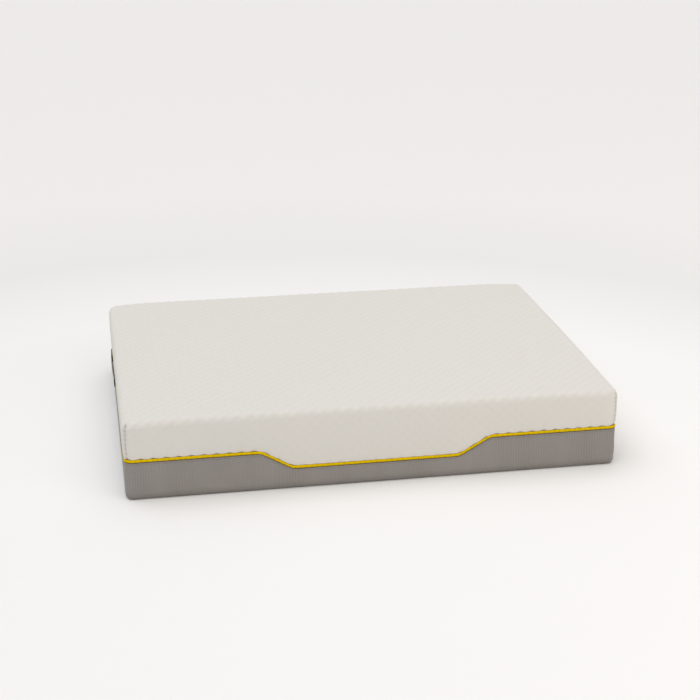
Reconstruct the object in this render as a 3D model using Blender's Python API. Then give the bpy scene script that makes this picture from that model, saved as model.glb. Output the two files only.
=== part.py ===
"""A double-size foam mattress with a zip-off knitted top cover, a mesh border and a layered foam core.

Metres, +Z up. The origin is the centre of the underside. +X runs along the length, and -Y is the long side
where the piping dips. Blender 4.5: blender --background --python part.py
"""

import math

import bmesh
import bpy
from mathutils import Matrix, Vector

# ---------------------------------------------------------------- driving dimensions
LENGTH = 1.894  # the border, over its outer faces, along X
WIDTH = 1.394  # the border, over its outer faces, along Y
HEIGHT = 0.312
CORNER_R = 0.030  # the vertical corners of the border
CORNER_STEPS = 6
CREST_R = 0.024  # the rounded edge all round the top
CREST_STEPS = 4

PIPING_Z = 0.157  # the piping's centre on the level runs
DIP_Z = 0.087  # the piping's centre at the bottom of the dip
DIP_LOW = 0.321  # half the length of the dip's level bottom
DIP_HIGH = 0.441  # half the length of the dip at its top
DIP_SOFT = 0.007  # how softly the piping turns into and out of each slope
BEND_POINTS = (-0.014, -0.005, 0.0, 0.005, 0.014)  # outline points about each turn of the dip

GAP = 0.0003  # between touching pieces
PIPING_R = 0.0055  # half the piping's height
PIPING_DEPTH = 0.0036  # half its thickness: its seam squeezes it flat
PIPING_OUT = -0.0022  # the piping's centre, from the border's outer face
SLIT = 0.0026  # below the piping, where the zip shows
BORDER_WALL = 0.004
BORDER_SWELL = 0.0015  # how far the foam pushes the border out, below the handles
SWELL_Z = 0.058
SWELL_TOP = 0.100
SWELL_CLEAR = 0.012  # between the swell and the border's top edge, in the dip
HEM_WRAP = 0.022  # how far the border turns in under the mattress
HEM_THICK = 0.003
HEM_LIFT = 0.0006  # the hem's lower face, above the underside panel's
HEM_ROUND_X = 0.012  # the rounded lower edge of the border: how far in it starts
HEM_ROUND_Z = 0.019  # and the height where the border stands upright
HEM_STEPS = 3
PLATEAU_SHARE = 0.8  # the size of the ring inside each flat top or bottom

KNIT = 0.003  # the knitted cover's thickness
SKIRT_BOTTOM = PIPING_R + 0.0007  # the skirt's lower edge, above the piping's centre
SKIRT_BULGE = 0.003  # how far the white skirt swells past the border
SKIRT_PINCH = -0.0015  # how far the piping's seam draws the skirt in
SKIRT_EASE = 0.030  # the height over which the skirt swells
SEAM_R = 0.0012
SEAM_OUT = 0.0016  # the middle of a corner seam's thread, proud of the knit
SEAM_START = 0.002  # its lower end, above the skirt's lower edge
WADDING_IN = -0.012  # the wadding's inner face
WADDING_RISE = 0.022  # the wadding's lower edge, above the piping's centre
CORE_IN = -0.013  # the foam core's sides
CORE_TOP = 0.298
CORE_BOTTOM = 0.0045
CORE_CHAMFER_X = 0.012
CORE_CHAMFER_Z = 0.009
TRANSITION_BOTTOM = 0.158
COMFORT_BOTTOM = 0.236
CHANNEL_WIDTH = 0.012
CHANNEL_DEPTH = 0.045
CHANNELS_X = (-0.62, -0.44, -0.26, 0.14, 0.32)  # shoulder and hip zones of the base foam
CASTELLATIONS_X = 12
CASTELLATIONS_Y = 8
CASTELLATION_SLOT = 0.006
CASTELLATION_DEPTH = 0.040

TAPE_IN = -0.0093  # the middle of the zip tapes
TAPE = 0.0008
TAPE_HEIGHT = 0.019
COIL = 0.0024
COIL_HEIGHT = 0.0022
COIL_SLIT = 0.0016
ZIP_BELOW = PIPING_R + SLIT / 2  # the zip's middle, below the piping's centre
ZIP_START_X = -0.700  # where the two ends of the zip meet, on the back
ZIP_END_GAP = 0.012  # half the space between the zip's two ends

HANDLE_Y = 0.385
HANDLE_Z = 0.125
HANDLE_HALF = 0.185
HANDLE_RAMP_BACK = 0.026  # the lengths over which the webbing leaves the border: it bows out towards the back
HANDLE_RAMP_FRONT = 0.142
HANDLE_RAMP_STEPS = 4
PATCH_LENGTH = 0.057
PATCH = 0.0032  # the sewn-down webbing, thicker than the loose webbing
WEBBING = 0.0024
WEBBING_WIDTH = 0.038
FINGER_GAP = 0.0054

# ---------------------------------------------------------------- colours, linear
WHITE_KNIT = (0.76, 0.75, 0.71)
WHITE_FIBRE = (0.85, 0.85, 0.83)
YELLOW_CORD = (0.80, 0.52, 0.02)
GREY_MESH = (0.27, 0.245, 0.225)
GREY_TAPE = (0.20, 0.18, 0.17)
GREY_UNDERSIDE = (0.16, 0.155, 0.15)
CHARCOAL_WEBBING = (0.045, 0.045, 0.048)
ZINC = (0.55, 0.55, 0.56)
BASE_FOAM = (0.55, 0.56, 0.58)
TRANSITION_FOAM = (0.80, 0.78, 0.68)
COMFORT_FOAM = (0.42, 0.60, 0.62)


# ---------------------------------------------------------------- scene and materials
def clear_scene():
    for obj in list(bpy.data.objects):
        bpy.data.objects.remove(obj, do_unlink=True)


def material(name, colour, roughness, metallic=0.0):
    made = bpy.data.materials.new(name)
    made.use_nodes = True
    shader = made.node_tree.nodes["Principled BSDF"]
    shader.inputs["Base Color"].default_value = (*colour, 1.0)
    shader.inputs["Roughness"].default_value = roughness
    shader.inputs["Metallic"].default_value = metallic
    return made


def add_object(name, bm, finish, smooth_angle=35.0):
    """Turns a bmesh into a named object with outward faces and its material."""
    bmesh.ops.recalc_face_normals(bm, faces=bm.faces)
    mesh = bpy.data.meshes.new(name)
    bm.to_mesh(mesh)
    bm.free()
    mesh.materials.append(finish)
    mesh.shade_smooth()
    mesh.set_sharp_from_angle(angle=math.radians(smooth_angle))
    obj = bpy.data.objects.new(name, mesh)
    bpy.context.scene.collection.objects.link(obj)
    return obj


# ---------------------------------------------------------------- outlines
def soft_step(u):
    """Zero below 0 and u above it, with a soft turn."""
    return 0.5 * (u + math.sqrt(u * u + DIP_SOFT * DIP_SOFT))


def piping_height(x, y):
    """The height of the piping's centre: level, with a flat-bottomed dip in the middle of the front."""
    if y > 0:
        return PIPING_Z
    slope = (PIPING_Z - DIP_Z) / (DIP_HIGH - DIP_LOW)
    climb = soft_step(abs(x) - DIP_LOW) - soft_step(abs(x) - DIP_HIGH)
    ends = soft_step(LENGTH / 2 - DIP_LOW) - soft_step(LENGTH / 2 - DIP_HIGH)
    return PIPING_Z - slope * (ends - climb)


def dip_turns():
    """Where the front needs points: about each turn of the dip, from left to right."""
    turns = [turn + step for turn in (DIP_LOW, DIP_HIGH) for step in BEND_POINTS]
    return sorted([-x for x in turns] + turns)


def border_outline():
    """(x, y, normal x, normal y) around the border's outer face, anticlockwise from above."""
    half_x = LENGTH / 2 - CORNER_R
    half_y = WIDTH / 2 - CORNER_R
    points = [(x, -WIDTH / 2, 0.0, -1.0) for x in dip_turns()]
    corners = (
        (half_x, -half_y, -90),
        (half_x, half_y, 0),
        (-half_x, half_y, 90),
        (-half_x, -half_y, 180),
    )
    for centre_x, centre_y, start in corners:
        for step in range(CORNER_STEPS + 1):
            angle = math.radians(start + 90 * step / CORNER_STEPS)
            normal = (math.cos(angle), math.sin(angle))
            x = centre_x + CORNER_R * normal[0]
            y = centre_y + CORNER_R * normal[1]
            points.append((x, y, *normal))
    return points


def run_of_coil():
    """The outline from one end of the zip, round the mattress, to the other end."""
    outline = border_outline()
    back = [i for i, p in enumerate(outline) if p[3] > 0.999 and p[0] < 0][0]
    start = (ZIP_START_X + ZIP_END_GAP, WIDTH / 2, 0.0, 1.0)
    end = (ZIP_START_X - ZIP_END_GAP, WIDTH / 2, 0.0, 1.0)
    return [end] + outline[back:] + outline[:back] + [start]


def placed(point, out, z):
    x, y, normal_x, normal_y = point
    return Vector((x + normal_x * out, y + normal_y * out, z))


# ---------------------------------------------------------------- solids from outlines
def swept(name, path, section, finish, closed=True):
    """A polygon section carried along a path: section(point) gives its (out, z) corners."""
    bm = bmesh.new()
    rings = [[bm.verts.new(placed(p, out, z)) for out, z in section(p)] for p in path]
    count = len(rings[0])
    for i in range(len(rings) if closed else len(rings) - 1):
        here, there = rings[i], rings[(i + 1) % len(rings)]
        for k in range(count):
            bm.faces.new((here[k], here[(k + 1) % count], there[(k + 1) % count], there[k]))
    if not closed:
        bm.faces.new(rings[0])
        bm.faces.new(rings[-1])
    return add_object(name, bm, finish)


def band_section(out_low, out_high, below, above):
    """A rectangle section: heights below and above the piping's centre."""

    def section(point):
        z = piping_height(point[0], point[1])
        return ((out_low, z + below), (out_high, z + below), (out_high, z + above), (out_low, z + above))

    return section


def ring_of(bm, path, out, height):
    return [bm.verts.new(placed(p, out, height(p) if callable(height) else height)) for p in path]


def bridge(bm, lower, upper):
    count = len(lower)
    for i in range(count):
        j = (i + 1) % count
        bm.faces.new((lower[i], lower[j], upper[j], upper[i]))


def close_with_fan(bm, ring, z):
    """Closes a ring with a flat plateau: a smaller copy of the ring, filled to its centre."""
    plateau = [bm.verts.new((v.co.x * PLATEAU_SHARE, v.co.y * PLATEAU_SHARE, z)) for v in ring]
    bridge(bm, ring, plateau)
    centre = bm.verts.new((0.0, 0.0, z))
    for i in range(len(plateau)):
        bm.faces.new((plateau[i], plateau[(i + 1) % len(plateau)], centre))


def cap_shell(name, path, outer, inner, top, underside, finish):
    """An upside-down tray: outer and inner are (out, height) stations from the bottom edge up."""
    bm = bmesh.new()
    outer_rings = [ring_of(bm, path, out, height) for out, height in outer]
    inner_rings = [ring_of(bm, path, out, height) for out, height in inner]
    for rings in (outer_rings, inner_rings):
        for k in range(len(rings) - 1):
            bridge(bm, rings[k], rings[k + 1])
    bridge(bm, outer_rings[0], inner_rings[0])
    close_with_fan(bm, outer_rings[-1], top)
    close_with_fan(bm, inner_rings[-1], underside)
    return add_object(name, bm, finish)


def slab(name, path, stations, finish):
    """A solid through (out, height) stations from the bottom up, closed flat at both ends."""
    bm = bmesh.new()
    rings = [ring_of(bm, path, out, height) for out, height in stations]
    for k in range(len(rings) - 1):
        bridge(bm, rings[k], rings[k + 1])
    close_with_fan(bm, rings[0], stations[0][1])
    close_with_fan(bm, rings[-1], stations[-1][1])
    return add_object(name, bm, finish)


def box(bm, low, high):
    size = [high[k] - low[k] for k in range(3)]
    middle = [(high[k] + low[k]) / 2 for k in range(3)]
    matrix = Matrix.Translation(middle) @ Matrix.Diagonal((*size, 1.0))
    return bmesh.ops.create_cube(bm, size=1.0, matrix=matrix)


def box_object(name, low, high, finish):
    bm = bmesh.new()
    box(bm, low, high)
    return add_object(name, bm, finish)


def combine(target, other, operation):
    """Adds or cuts another object with an exact Boolean, and hides the tool."""
    step = target.modifiers.new(other.name, "BOOLEAN")
    step.operation = operation
    step.solver = "EXACT"
    step.object = other
    other.hide_render = True
    other.display_type = "WIRE"


def tube(name, points, radius, sides, finish):
    """A round bar through the given points, with flat ends."""
    bm = bmesh.new()
    rings = []
    for i, point in enumerate(points):
        ahead = points[min(i + 1, len(points) - 1)] - points[max(i - 1, 0)]
        turn = ahead.to_track_quat("Z", "Y").to_matrix()
        ring = []
        for k in range(sides):
            angle = 2 * math.pi * k / sides
            around = Vector((math.cos(angle), math.sin(angle), 0.0)) * radius
            ring.append(bm.verts.new(point + turn @ around))
        rings.append(ring)
    for k in range(len(rings) - 1):
        bridge(bm, rings[k], rings[k + 1])
    bm.faces.new(rings[0])
    bm.faces.new(rings[-1])
    return add_object(name, bm, finish)


# ---------------------------------------------------------------- top cover
def above_piping(rise):
    return lambda point: piping_height(point[0], point[1]) + rise


def crest_stations(inset):
    """The rounded upper edge as a quarter circle, inset from the knit's outer face."""
    radius = CREST_R - inset
    turns = [math.pi / 2 * k / CREST_STEPS for k in range(CREST_STEPS + 1)]
    centre_out = SKIRT_BULGE - CREST_R
    centre_z = HEIGHT - CREST_R
    return [(centre_out + radius * math.cos(a), centre_z + radius * math.sin(a)) for a in turns]


def skirt_stations(inset, rise):
    """(out, height) up the side: drawn in at the piping's seam, then full, then the rounded edge."""
    return [
        (SKIRT_PINCH - inset, above_piping(rise)),
        (SKIRT_BULGE - inset, above_piping(rise + SKIRT_EASE)),
        *crest_stations(inset),
    ]


def cover_panel(path, finish):
    outer = skirt_stations(0.0, SKIRT_BOTTOM)
    inner = skirt_stations(KNIT, SKIRT_BOTTOM)
    return cap_shell("cover_panel", path, outer, inner, HEIGHT, HEIGHT - KNIT, finish)


def cover_wadding(path, finish):
    outer = skirt_stations(KNIT + GAP, WADDING_RISE)
    underside = CORE_TOP + GAP
    inner = [(WADDING_IN, above_piping(WADDING_RISE)), (WADDING_IN, underside)]
    return cap_shell("cover_wadding", path, outer, inner, HEIGHT - KNIT - GAP, underside, finish)


def corner_seam(name, side_x, side_y, finish):
    """The sewn dart up one corner of the white cover, just proud of the knit."""
    corner = Vector((side_x * (LENGTH / 2 - CORNER_R), side_y * (WIDTH / 2 - CORNER_R), 0.0))
    away = Vector((side_x, side_y, 0.0)).normalized()
    level = (side_x * LENGTH / 2, side_y * WIDTH / 2)
    points = []
    for out, height in skirt_stations(-SEAM_OUT, SKIRT_BOTTOM + SEAM_START)[:-1]:
        z = height(level) if callable(height) else height
        points.append(corner + away * (CORNER_R + out) + Vector((0.0, 0.0, z)))
    return tube(name, points, SEAM_R, 6, finish)


def piping(path, finish, sides=8):
    def section(point):
        z = piping_height(point[0], point[1])
        turns = [2 * math.pi * k / sides for k in range(sides)]
        return [(PIPING_OUT + PIPING_DEPTH * math.cos(a), z + PIPING_R * math.sin(a)) for a in turns]

    return swept("piping", path, section, finish)


# ---------------------------------------------------------------- zip
def zip_tape(name, path, low, high, finish):
    section = band_section(TAPE_IN - TAPE / 2, TAPE_IN + TAPE / 2, low, high)
    return swept(name, path, section, finish)


def coil_sections(direction):
    """The (out, z) corners of one half of the zip's coil, a C that grips the edge of its tape."""
    near = COIL_SLIT / 2
    far = near + COIL_HEIGHT
    low, high = sorted((direction * near, direction * far))
    return band_section(TAPE_IN - COIL / 2, TAPE_IN + COIL / 2, -ZIP_BELOW + low, -ZIP_BELOW + high)


def zip_halves(path, tape_finish, coil_finish):
    run = run_of_coil()
    clear = COIL_SLIT / 2 + COIL_HEIGHT + GAP
    zip_tape("zip_tape_upper", path, -ZIP_BELOW + clear, -ZIP_BELOW + clear + TAPE_HEIGHT, tape_finish)
    zip_tape("zip_tape_lower", path, -ZIP_BELOW - clear - TAPE_HEIGHT, -ZIP_BELOW - clear, tape_finish)
    swept("zip_coil_upper", run, coil_sections(1), coil_finish, closed=False)
    swept("zip_coil_lower", run, coil_sections(-1), coil_finish, closed=False)


SLIDER_HALF_X = 0.008
SLIDER_PLATE = 0.0012
SLIDER_CHANNEL = COIL / 2 + GAP  # half the space between the slider's plates
SLIDER_RIM_IN = COIL_SLIT / 2 + COIL_HEIGHT + GAP
SLIDER_RIM_OUT = SLIDER_RIM_IN + 0.001
TAPE_SLOT = TAPE / 2 + GAP
NECK_START = 0.004  # the neck between the plates, from the slider's nose
NECK_END = 0.001
NECK_HALF_Z = 0.0005
BAR_OUT = 0.0024  # the slider's bar, outside the border's outer face
BAR_R = 0.0007
POST_X = 0.0045
POST = 0.0014
EYE_IN = 0.0010
EYE_OUT = 0.0020
EYE_START = -60.0  # where the eye's round meets the tab, in degrees
EYE_STEPS = 6
PULL_LENGTH = 0.030
PULL_THICK = 0.0016
PULL_HALF_X = 0.0030
STOP_INSET = 0.0022  # a stop's middle, from the end of its coil
STOP_HALF_X = 0.0015


def slider_point():
    """Where the parked slider's middle is: on the back, between the two ends of the zip."""
    return Vector((ZIP_START_X, WIDTH / 2, PIPING_Z - ZIP_BELOW))


def bar_point():
    middle = slider_point()
    return Vector((middle.x, middle.y + BAR_OUT, middle.z))


def slider_blocks():
    """The slider's boxes, as (low, high) offsets from its middle: plates, rims, neck and posts."""
    front = TAPE_IN + SLIDER_CHANNEL
    back = TAPE_IN - SLIDER_CHANNEL
    half_x = SLIDER_HALF_X
    lap = 0.0002  # how far the blocks run into each other
    neck_low = (half_x - NECK_START, back - lap, -NECK_HALF_Z)
    neck_high = (half_x - NECK_END, front + lap, NECK_HALF_Z)
    blocks = [
        ((-half_x, front, -SLIDER_RIM_OUT), (half_x, front + SLIDER_PLATE, SLIDER_RIM_OUT)),
        ((-half_x, back - SLIDER_PLATE, -SLIDER_RIM_OUT), (half_x, back, SLIDER_RIM_OUT)),
        (neck_low, neck_high),
    ]
    for side in (-1, 1):
        low, high = sorted((side * SLIDER_RIM_IN, side * (SLIDER_RIM_OUT - lap)))
        blocks.append(((-half_x + lap, TAPE_IN + TAPE_SLOT, low), (half_x - lap, front + lap, high)))
        blocks.append(((-half_x + lap, back - lap, low), (half_x - lap, TAPE_IN - TAPE_SLOT, high)))
        half = POST / 2
        post_low = (side * POST_X - half, front + SLIDER_PLATE - lap, -half)
        post_high = (side * POST_X + half, BAR_OUT + half, half)
        blocks.append((post_low, post_high))
    return blocks


def zip_slider(finish):
    """A die-cast slider that wraps both coils, with two posts and a bar outside the border."""
    middle = slider_point()
    body = None
    for k, (low, high) in enumerate(slider_blocks()):
        low = middle + Vector(low)
        high = middle + Vector(high)
        name = f"zip_slider_block_{k}" if body else "zip_slider"
        block = box_object(name, low, high, finish)
        if body is None:
            body = block
        else:
            combine(body, block, "UNION")
    reach = Vector((POST_X + POST / 4, 0.0, 0.0))
    bar = tube("zip_slider_bar", [bar_point() - reach, bar_point() + reach], BAR_R, 8, finish)
    combine(body, bar, "UNION")
    return body


def zip_pull(finish):
    """A pull tab that hangs from the slider's bar by its eye."""
    bm = bmesh.new()
    centre = bar_point()
    half = PULL_THICK / 2
    outline = [(half, -PULL_LENGTH)]
    for k in range(EYE_STEPS + 1):
        angle = math.radians(EYE_START + (180 - 2 * EYE_START) * k / EYE_STEPS)
        outline.append((EYE_OUT * math.cos(angle), EYE_OUT * math.sin(angle)))
    outline.append((-half, -PULL_LENGTH))
    sides = []
    for x in (-PULL_HALF_X, PULL_HALF_X):
        sides.append([bm.verts.new(centre + Vector((x, y, z))) for y, z in outline])
    bridge(bm, sides[0], sides[1])
    bm.faces.new(sides[0])
    bm.faces.new(sides[1])
    pull = add_object("zip_pull", bm, finish)
    eye = Vector((PULL_HALF_X * 2, 0.0, 0.0))
    bore = tube("zip_pull_bore", [centre - eye, centre + eye], EYE_IN, 10, finish)
    combine(pull, bore, "DIFFERENCE")
    return pull


def zip_stop(name, side, finish):
    """A metal stop crimped on the lower tape, past one end of the coil."""
    middle = slider_point()
    x = middle.x + side * (ZIP_END_GAP - STOP_INSET)
    z = middle.z - COIL_SLIT / 2 - COIL_HEIGHT / 2
    half = COIL / 2
    low = (x - STOP_HALF_X, middle.y + TAPE_IN - half, z - COIL_HEIGHT / 2)
    high = (x + STOP_HALF_X, middle.y + TAPE_IN + half, z + COIL_HEIGHT / 2)
    return box_object(name, low, high, finish)


# ---------------------------------------------------------------- lower cover
def hem_round(half_x, half_z):
    """The border's lower edge as a quarter ellipse, from the hem out and up to the upright wall."""
    turns = [math.pi / 2 * (k / HEM_STEPS - 1) for k in range(HEM_STEPS + 1)]
    return [(half_x * math.cos(a) - HEM_ROUND_X, half_z * math.sin(a) + HEM_ROUND_Z) for a in turns]


def border_band(path, finish):
    """The mesh band: a wall that turns in under the mattress, and stops below the piping."""
    drop = HEM_ROUND_Z - HEM_LIFT
    outer = [(-HEM_WRAP, HEM_LIFT)] + hem_round(HEM_ROUND_X, drop)
    inner = [(-HEM_WRAP, HEM_LIFT + HEM_THICK)] + hem_round(HEM_ROUND_X - BORDER_WALL, drop - HEM_THICK)

    def section(point):
        top = piping_height(point[0], point[1]) - PIPING_R - SLIT
        swell_top = min(SWELL_TOP, top - SWELL_CLEAR)
        swell = [(BORDER_SWELL, SWELL_Z), (0.0, swell_top)]
        back = [(-BORDER_WALL, swell_top), (BORDER_SWELL - BORDER_WALL, SWELL_Z)]
        return outer + swell + [(0.0, top), (-BORDER_WALL, top)] + back + inner[::-1]

    return swept("border_band", path, section, finish)


def base_panel(path, finish):
    inset = -HEM_WRAP - GAP
    return slab("base_panel", path, ((inset, 0.0), (inset, 0.0030)), finish)


# ---------------------------------------------------------------- foam core
def core_base(path, finish):
    stations = (
        (CORE_IN - CORE_CHAMFER_X, CORE_BOTTOM),
        (CORE_IN, CORE_BOTTOM + CORE_CHAMFER_Z),
        (CORE_IN, TRANSITION_BOTTOM - GAP),
    )
    body = slab("core_base", path, stations, finish)
    for k, x in enumerate(CHANNELS_X):
        low = (x - CHANNEL_WIDTH / 2, -WIDTH, TRANSITION_BOTTOM - GAP - CHANNEL_DEPTH)
        high = (x + CHANNEL_WIDTH / 2, WIDTH, HEIGHT)
        combine(body, box_object(f"core_channel_{k}", low, high, finish), "DIFFERENCE")
    return body


def core_transition(path, finish):
    stations = ((CORE_IN, TRANSITION_BOTTOM), (CORE_IN, COMFORT_BOTTOM - GAP))
    return slab("core_transition", path, stations, finish)


def slot_grid(finish):
    """The cutter for the castellations: one grid of thin walls, made of crossing slots."""
    bm = bmesh.new()
    length = LENGTH + 2 * CORE_IN
    width = WIDTH + 2 * CORE_IN
    half = CASTELLATION_SLOT / 2
    xs = [length * (k / CASTELLATIONS_X - 0.5) for k in range(1, CASTELLATIONS_X)]
    ys = [width * (k / CASTELLATIONS_Y - 0.5) for k in range(1, CASTELLATIONS_Y)]
    x_lines = [-LENGTH] + [x + s * half for x in xs for s in (-1, 1)] + [LENGTH]
    y_lines = [-WIDTH] + [y + s * half for y in ys for s in (-1, 1)] + [WIDTH]
    grid = [[bm.verts.new((x, y, CORE_TOP - CASTELLATION_DEPTH)) for y in y_lines] for x in x_lines]
    floor = []
    for i in range(len(x_lines) - 1):
        for j in range(len(y_lines) - 1):
            if i % 2 or j % 2:
                cell = (grid[i][j], grid[i + 1][j], grid[i + 1][j + 1], grid[i][j + 1])
                floor.append(bm.faces.new(cell))
    raised = bmesh.ops.extrude_face_region(bm, geom=floor, use_keep_orig=True)
    lifted = [v for v in raised["geom"] if isinstance(v, bmesh.types.BMVert)]
    bmesh.ops.translate(bm, verts=lifted, vec=(0.0, 0.0, CASTELLATION_DEPTH * 1.5))
    bmesh.ops.delete(bm, geom=[v for v in bm.verts if not v.link_faces], context="VERTS")
    return add_object("core_comfort_slots", bm, finish)


def core_comfort(path, finish):
    body = slab("core_comfort", path, ((CORE_IN, COMFORT_BOTTOM), (CORE_IN, CORE_TOP)), finish)
    combine(body, slot_grid(finish), "DIFFERENCE")
    return body


# ---------------------------------------------------------------- handles
def handle_bow(along):
    """How far the webbing stands off the border at a place along the grip, from its middle."""
    reach = HANDLE_HALF - PATCH_LENGTH
    share = min(1.0, (reach - along) / HANDLE_RAMP_BACK, (reach + along) / HANDLE_RAMP_FRONT)
    return GAP + (FINGER_GAP - GAP) * (3 * share**2 - 2 * share**3)


def strap_stops():
    """Places along the loose webbing, from its middle: even steps up the front ramp and down the back one."""
    reach = HANDLE_HALF - PATCH_LENGTH - GAP
    shares = [k / HANDLE_RAMP_STEPS for k in range(HANDLE_RAMP_STEPS + 1)]
    front = [HANDLE_RAMP_FRONT * share - reach for share in shares]
    back = [reach - HANDLE_RAMP_BACK * share for share in shares]
    return front + back[::-1]


def handle_strap(name, side, finish):
    """The loose middle of the webbing, bowed out to leave room for fingers."""
    face = LENGTH / 2
    bm = bmesh.new()
    rings = []
    for along in strap_stops():
        bow = handle_bow(along)
        ring = []
        for out, z in ((0, -1), (WEBBING, -1), (WEBBING, 1), (0, 1)):
            x = side * (face + bow + out)
            ring.append(bm.verts.new((x, HANDLE_Y + along, HANDLE_Z + z * WEBBING_WIDTH / 2)))
        rings.append(ring)
    for k in range(len(rings) - 1):
        bridge(bm, rings[k], rings[k + 1])
    bm.faces.new(rings[0])
    bm.faces.new(rings[-1])
    return add_object(name, bm, finish)


def handle_patch(name, side, end, finish):
    """A sewn-down end of the webbing, doubled over."""
    near = HANDLE_HALF - PATCH_LENGTH
    ys = sorted((HANDLE_Y + end * near, HANDLE_Y + end * HANDLE_HALF))
    xs = sorted((side * (LENGTH / 2 + GAP), side * (LENGTH / 2 + GAP + PATCH)))
    half = WEBBING_WIDTH / 2
    return box_object(name, (xs[0], ys[0], HANDLE_Z - half), (xs[1], ys[1], HANDLE_Z + half), finish)


# ---------------------------------------------------------------- the object
def main():
    clear_scene()
    outline = border_outline()

    knit = material("white_knit", WHITE_KNIT, 0.85)
    thread = material("seam_thread", WHITE_KNIT, 0.70)
    fibre = material("wadding", WHITE_FIBRE, 0.95)
    cord = material("yellow_piping", YELLOW_CORD, 0.60)
    mesh_knit = material("grey_mesh", GREY_MESH, 0.80)
    tape = material("zip_tape", GREY_TAPE, 0.80)
    coil = material("zip_coil", GREY_TAPE, 0.45)
    metal = material("zip_metal", ZINC, 0.35, 1.0)
    underside = material("underside", GREY_UNDERSIDE, 0.90)
    webbing = material("webbing", CHARCOAL_WEBBING, 0.75)
    support = material("base_foam", BASE_FOAM, 0.90)
    transition = material("transition_foam", TRANSITION_FOAM, 0.90)
    comfort = material("comfort_foam", COMFORT_FOAM, 0.90)

    cover_panel(outline, knit)
    cover_wadding(outline, fibre)
    for side_x, x_name in ((-1, "left"), (1, "right")):
        for side_y, y_name in ((-1, "front"), (1, "back")):
            corner_seam(f"cover_seam_{y_name}_{x_name}", side_x, side_y, thread)
    piping(outline, cord)

    zip_halves(outline, tape, coil)
    zip_stop("zip_stop_start", 1, metal)
    zip_stop("zip_stop_end", -1, metal)
    zip_slider(metal)
    zip_pull(metal)

    border_band(outline, mesh_knit)
    base_panel(outline, underside)

    core_base(outline, support)
    core_transition(outline, transition)
    core_comfort(outline, comfort)

    for side, x_name in ((-1, "left"), (1, "right")):
        handle_strap(f"handle_{x_name}_strap", side, webbing)
        handle_patch(f"handle_{x_name}_patch_front", side, -1, webbing)
        handle_patch(f"handle_{x_name}_patch_back", side, 1, webbing)


main()
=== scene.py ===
"""The looks of a zip-off knitted mattress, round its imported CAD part. Metres, +Z up, in the part's frame."""

import math

import bpy
import numpy as np
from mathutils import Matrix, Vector


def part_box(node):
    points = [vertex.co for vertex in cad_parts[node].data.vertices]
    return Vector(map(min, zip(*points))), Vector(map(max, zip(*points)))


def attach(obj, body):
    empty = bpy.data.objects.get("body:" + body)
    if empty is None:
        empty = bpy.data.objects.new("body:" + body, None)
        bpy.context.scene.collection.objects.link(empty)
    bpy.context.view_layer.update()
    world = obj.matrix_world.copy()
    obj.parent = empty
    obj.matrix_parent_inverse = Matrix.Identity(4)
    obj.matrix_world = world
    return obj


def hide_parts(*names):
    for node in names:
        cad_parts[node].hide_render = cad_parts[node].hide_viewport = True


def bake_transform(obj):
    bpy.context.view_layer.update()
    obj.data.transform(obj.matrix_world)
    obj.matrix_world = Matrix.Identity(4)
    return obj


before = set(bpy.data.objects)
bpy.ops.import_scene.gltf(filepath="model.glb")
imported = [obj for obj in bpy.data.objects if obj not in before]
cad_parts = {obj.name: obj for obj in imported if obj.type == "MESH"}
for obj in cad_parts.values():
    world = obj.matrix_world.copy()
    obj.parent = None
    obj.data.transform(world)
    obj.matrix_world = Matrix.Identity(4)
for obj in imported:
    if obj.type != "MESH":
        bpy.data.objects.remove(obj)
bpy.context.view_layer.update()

# ---------------------------------------------------------------- sizes from the frame
BORDER_SWELL = 0.0015
HALF_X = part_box("border_band")[1].x - BORDER_SWELL
HALF_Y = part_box("border_band")[1].y - BORDER_SWELL
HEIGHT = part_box("cover_panel")[1].z
PIPING_R = 0.0055
PIPING_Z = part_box("piping")[1].z - PIPING_R
DIP_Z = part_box("piping")[0].z + PIPING_R
CORE_HALF_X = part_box("core_base")[1].x
CORE_HALF_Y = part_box("core_base")[1].y
CORE_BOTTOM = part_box("core_base")[0].z
TRANSITION_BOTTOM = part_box("core_transition")[0].z
COMFORT_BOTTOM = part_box("core_comfort")[0].z
CORE_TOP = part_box("core_comfort")[1].z

# The same numbers as the part's source
GAP = 0.0003
CORNER_R, CREST_R = 0.030, 0.024
DIP_LOW, DIP_HIGH, DIP_SOFT = 0.321, 0.441, 0.007
PIPING_OUT, PIPING_DEPTH = -0.0022, 0.0036
SLIT = 0.0026
TAPE_IN, TAPE, TAPE_HEIGHT = -0.0093, 0.0008, 0.019
COIL, COIL_HEIGHT, COIL_SLIT = 0.0024, 0.0022, 0.0016
COIL_PITCH = 0.0030
ZIP_BELOW = PIPING_R + SLIT / 2
ZIP_START_X, ZIP_END_GAP = -0.700, 0.012
BORDER_WALL, HEM_WRAP, HEM_THICK, HEM_LIFT = 0.004, 0.022, 0.003, 0.0006
HEM_ROUND_X, HEM_ROUND_Z, SWELL_TOP = 0.012, 0.019, 0.100
KNIT, SKIRT_BOTTOM = 0.003, PIPING_R + 0.0007
SKIRT_BULGE, SKIRT_PINCH = 0.003, -0.0015
WADDING_IN, WADDING_RISE = -0.012, 0.022
CHANNELS_X, CHANNEL_WIDTH, CHANNEL_DEPTH = (-0.62, -0.44, -0.26, 0.14, 0.32), 0.012, 0.045
CASTELLATIONS_X, CASTELLATIONS_Y = 12, 8
CASTELLATION_SLOT, CASTELLATION_DEPTH = 0.006, 0.040
WEBBING = 0.0024
HANDLE_RAMP_BACK, HANDLE_RAMP_FRONT = 0.026, 0.142

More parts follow.
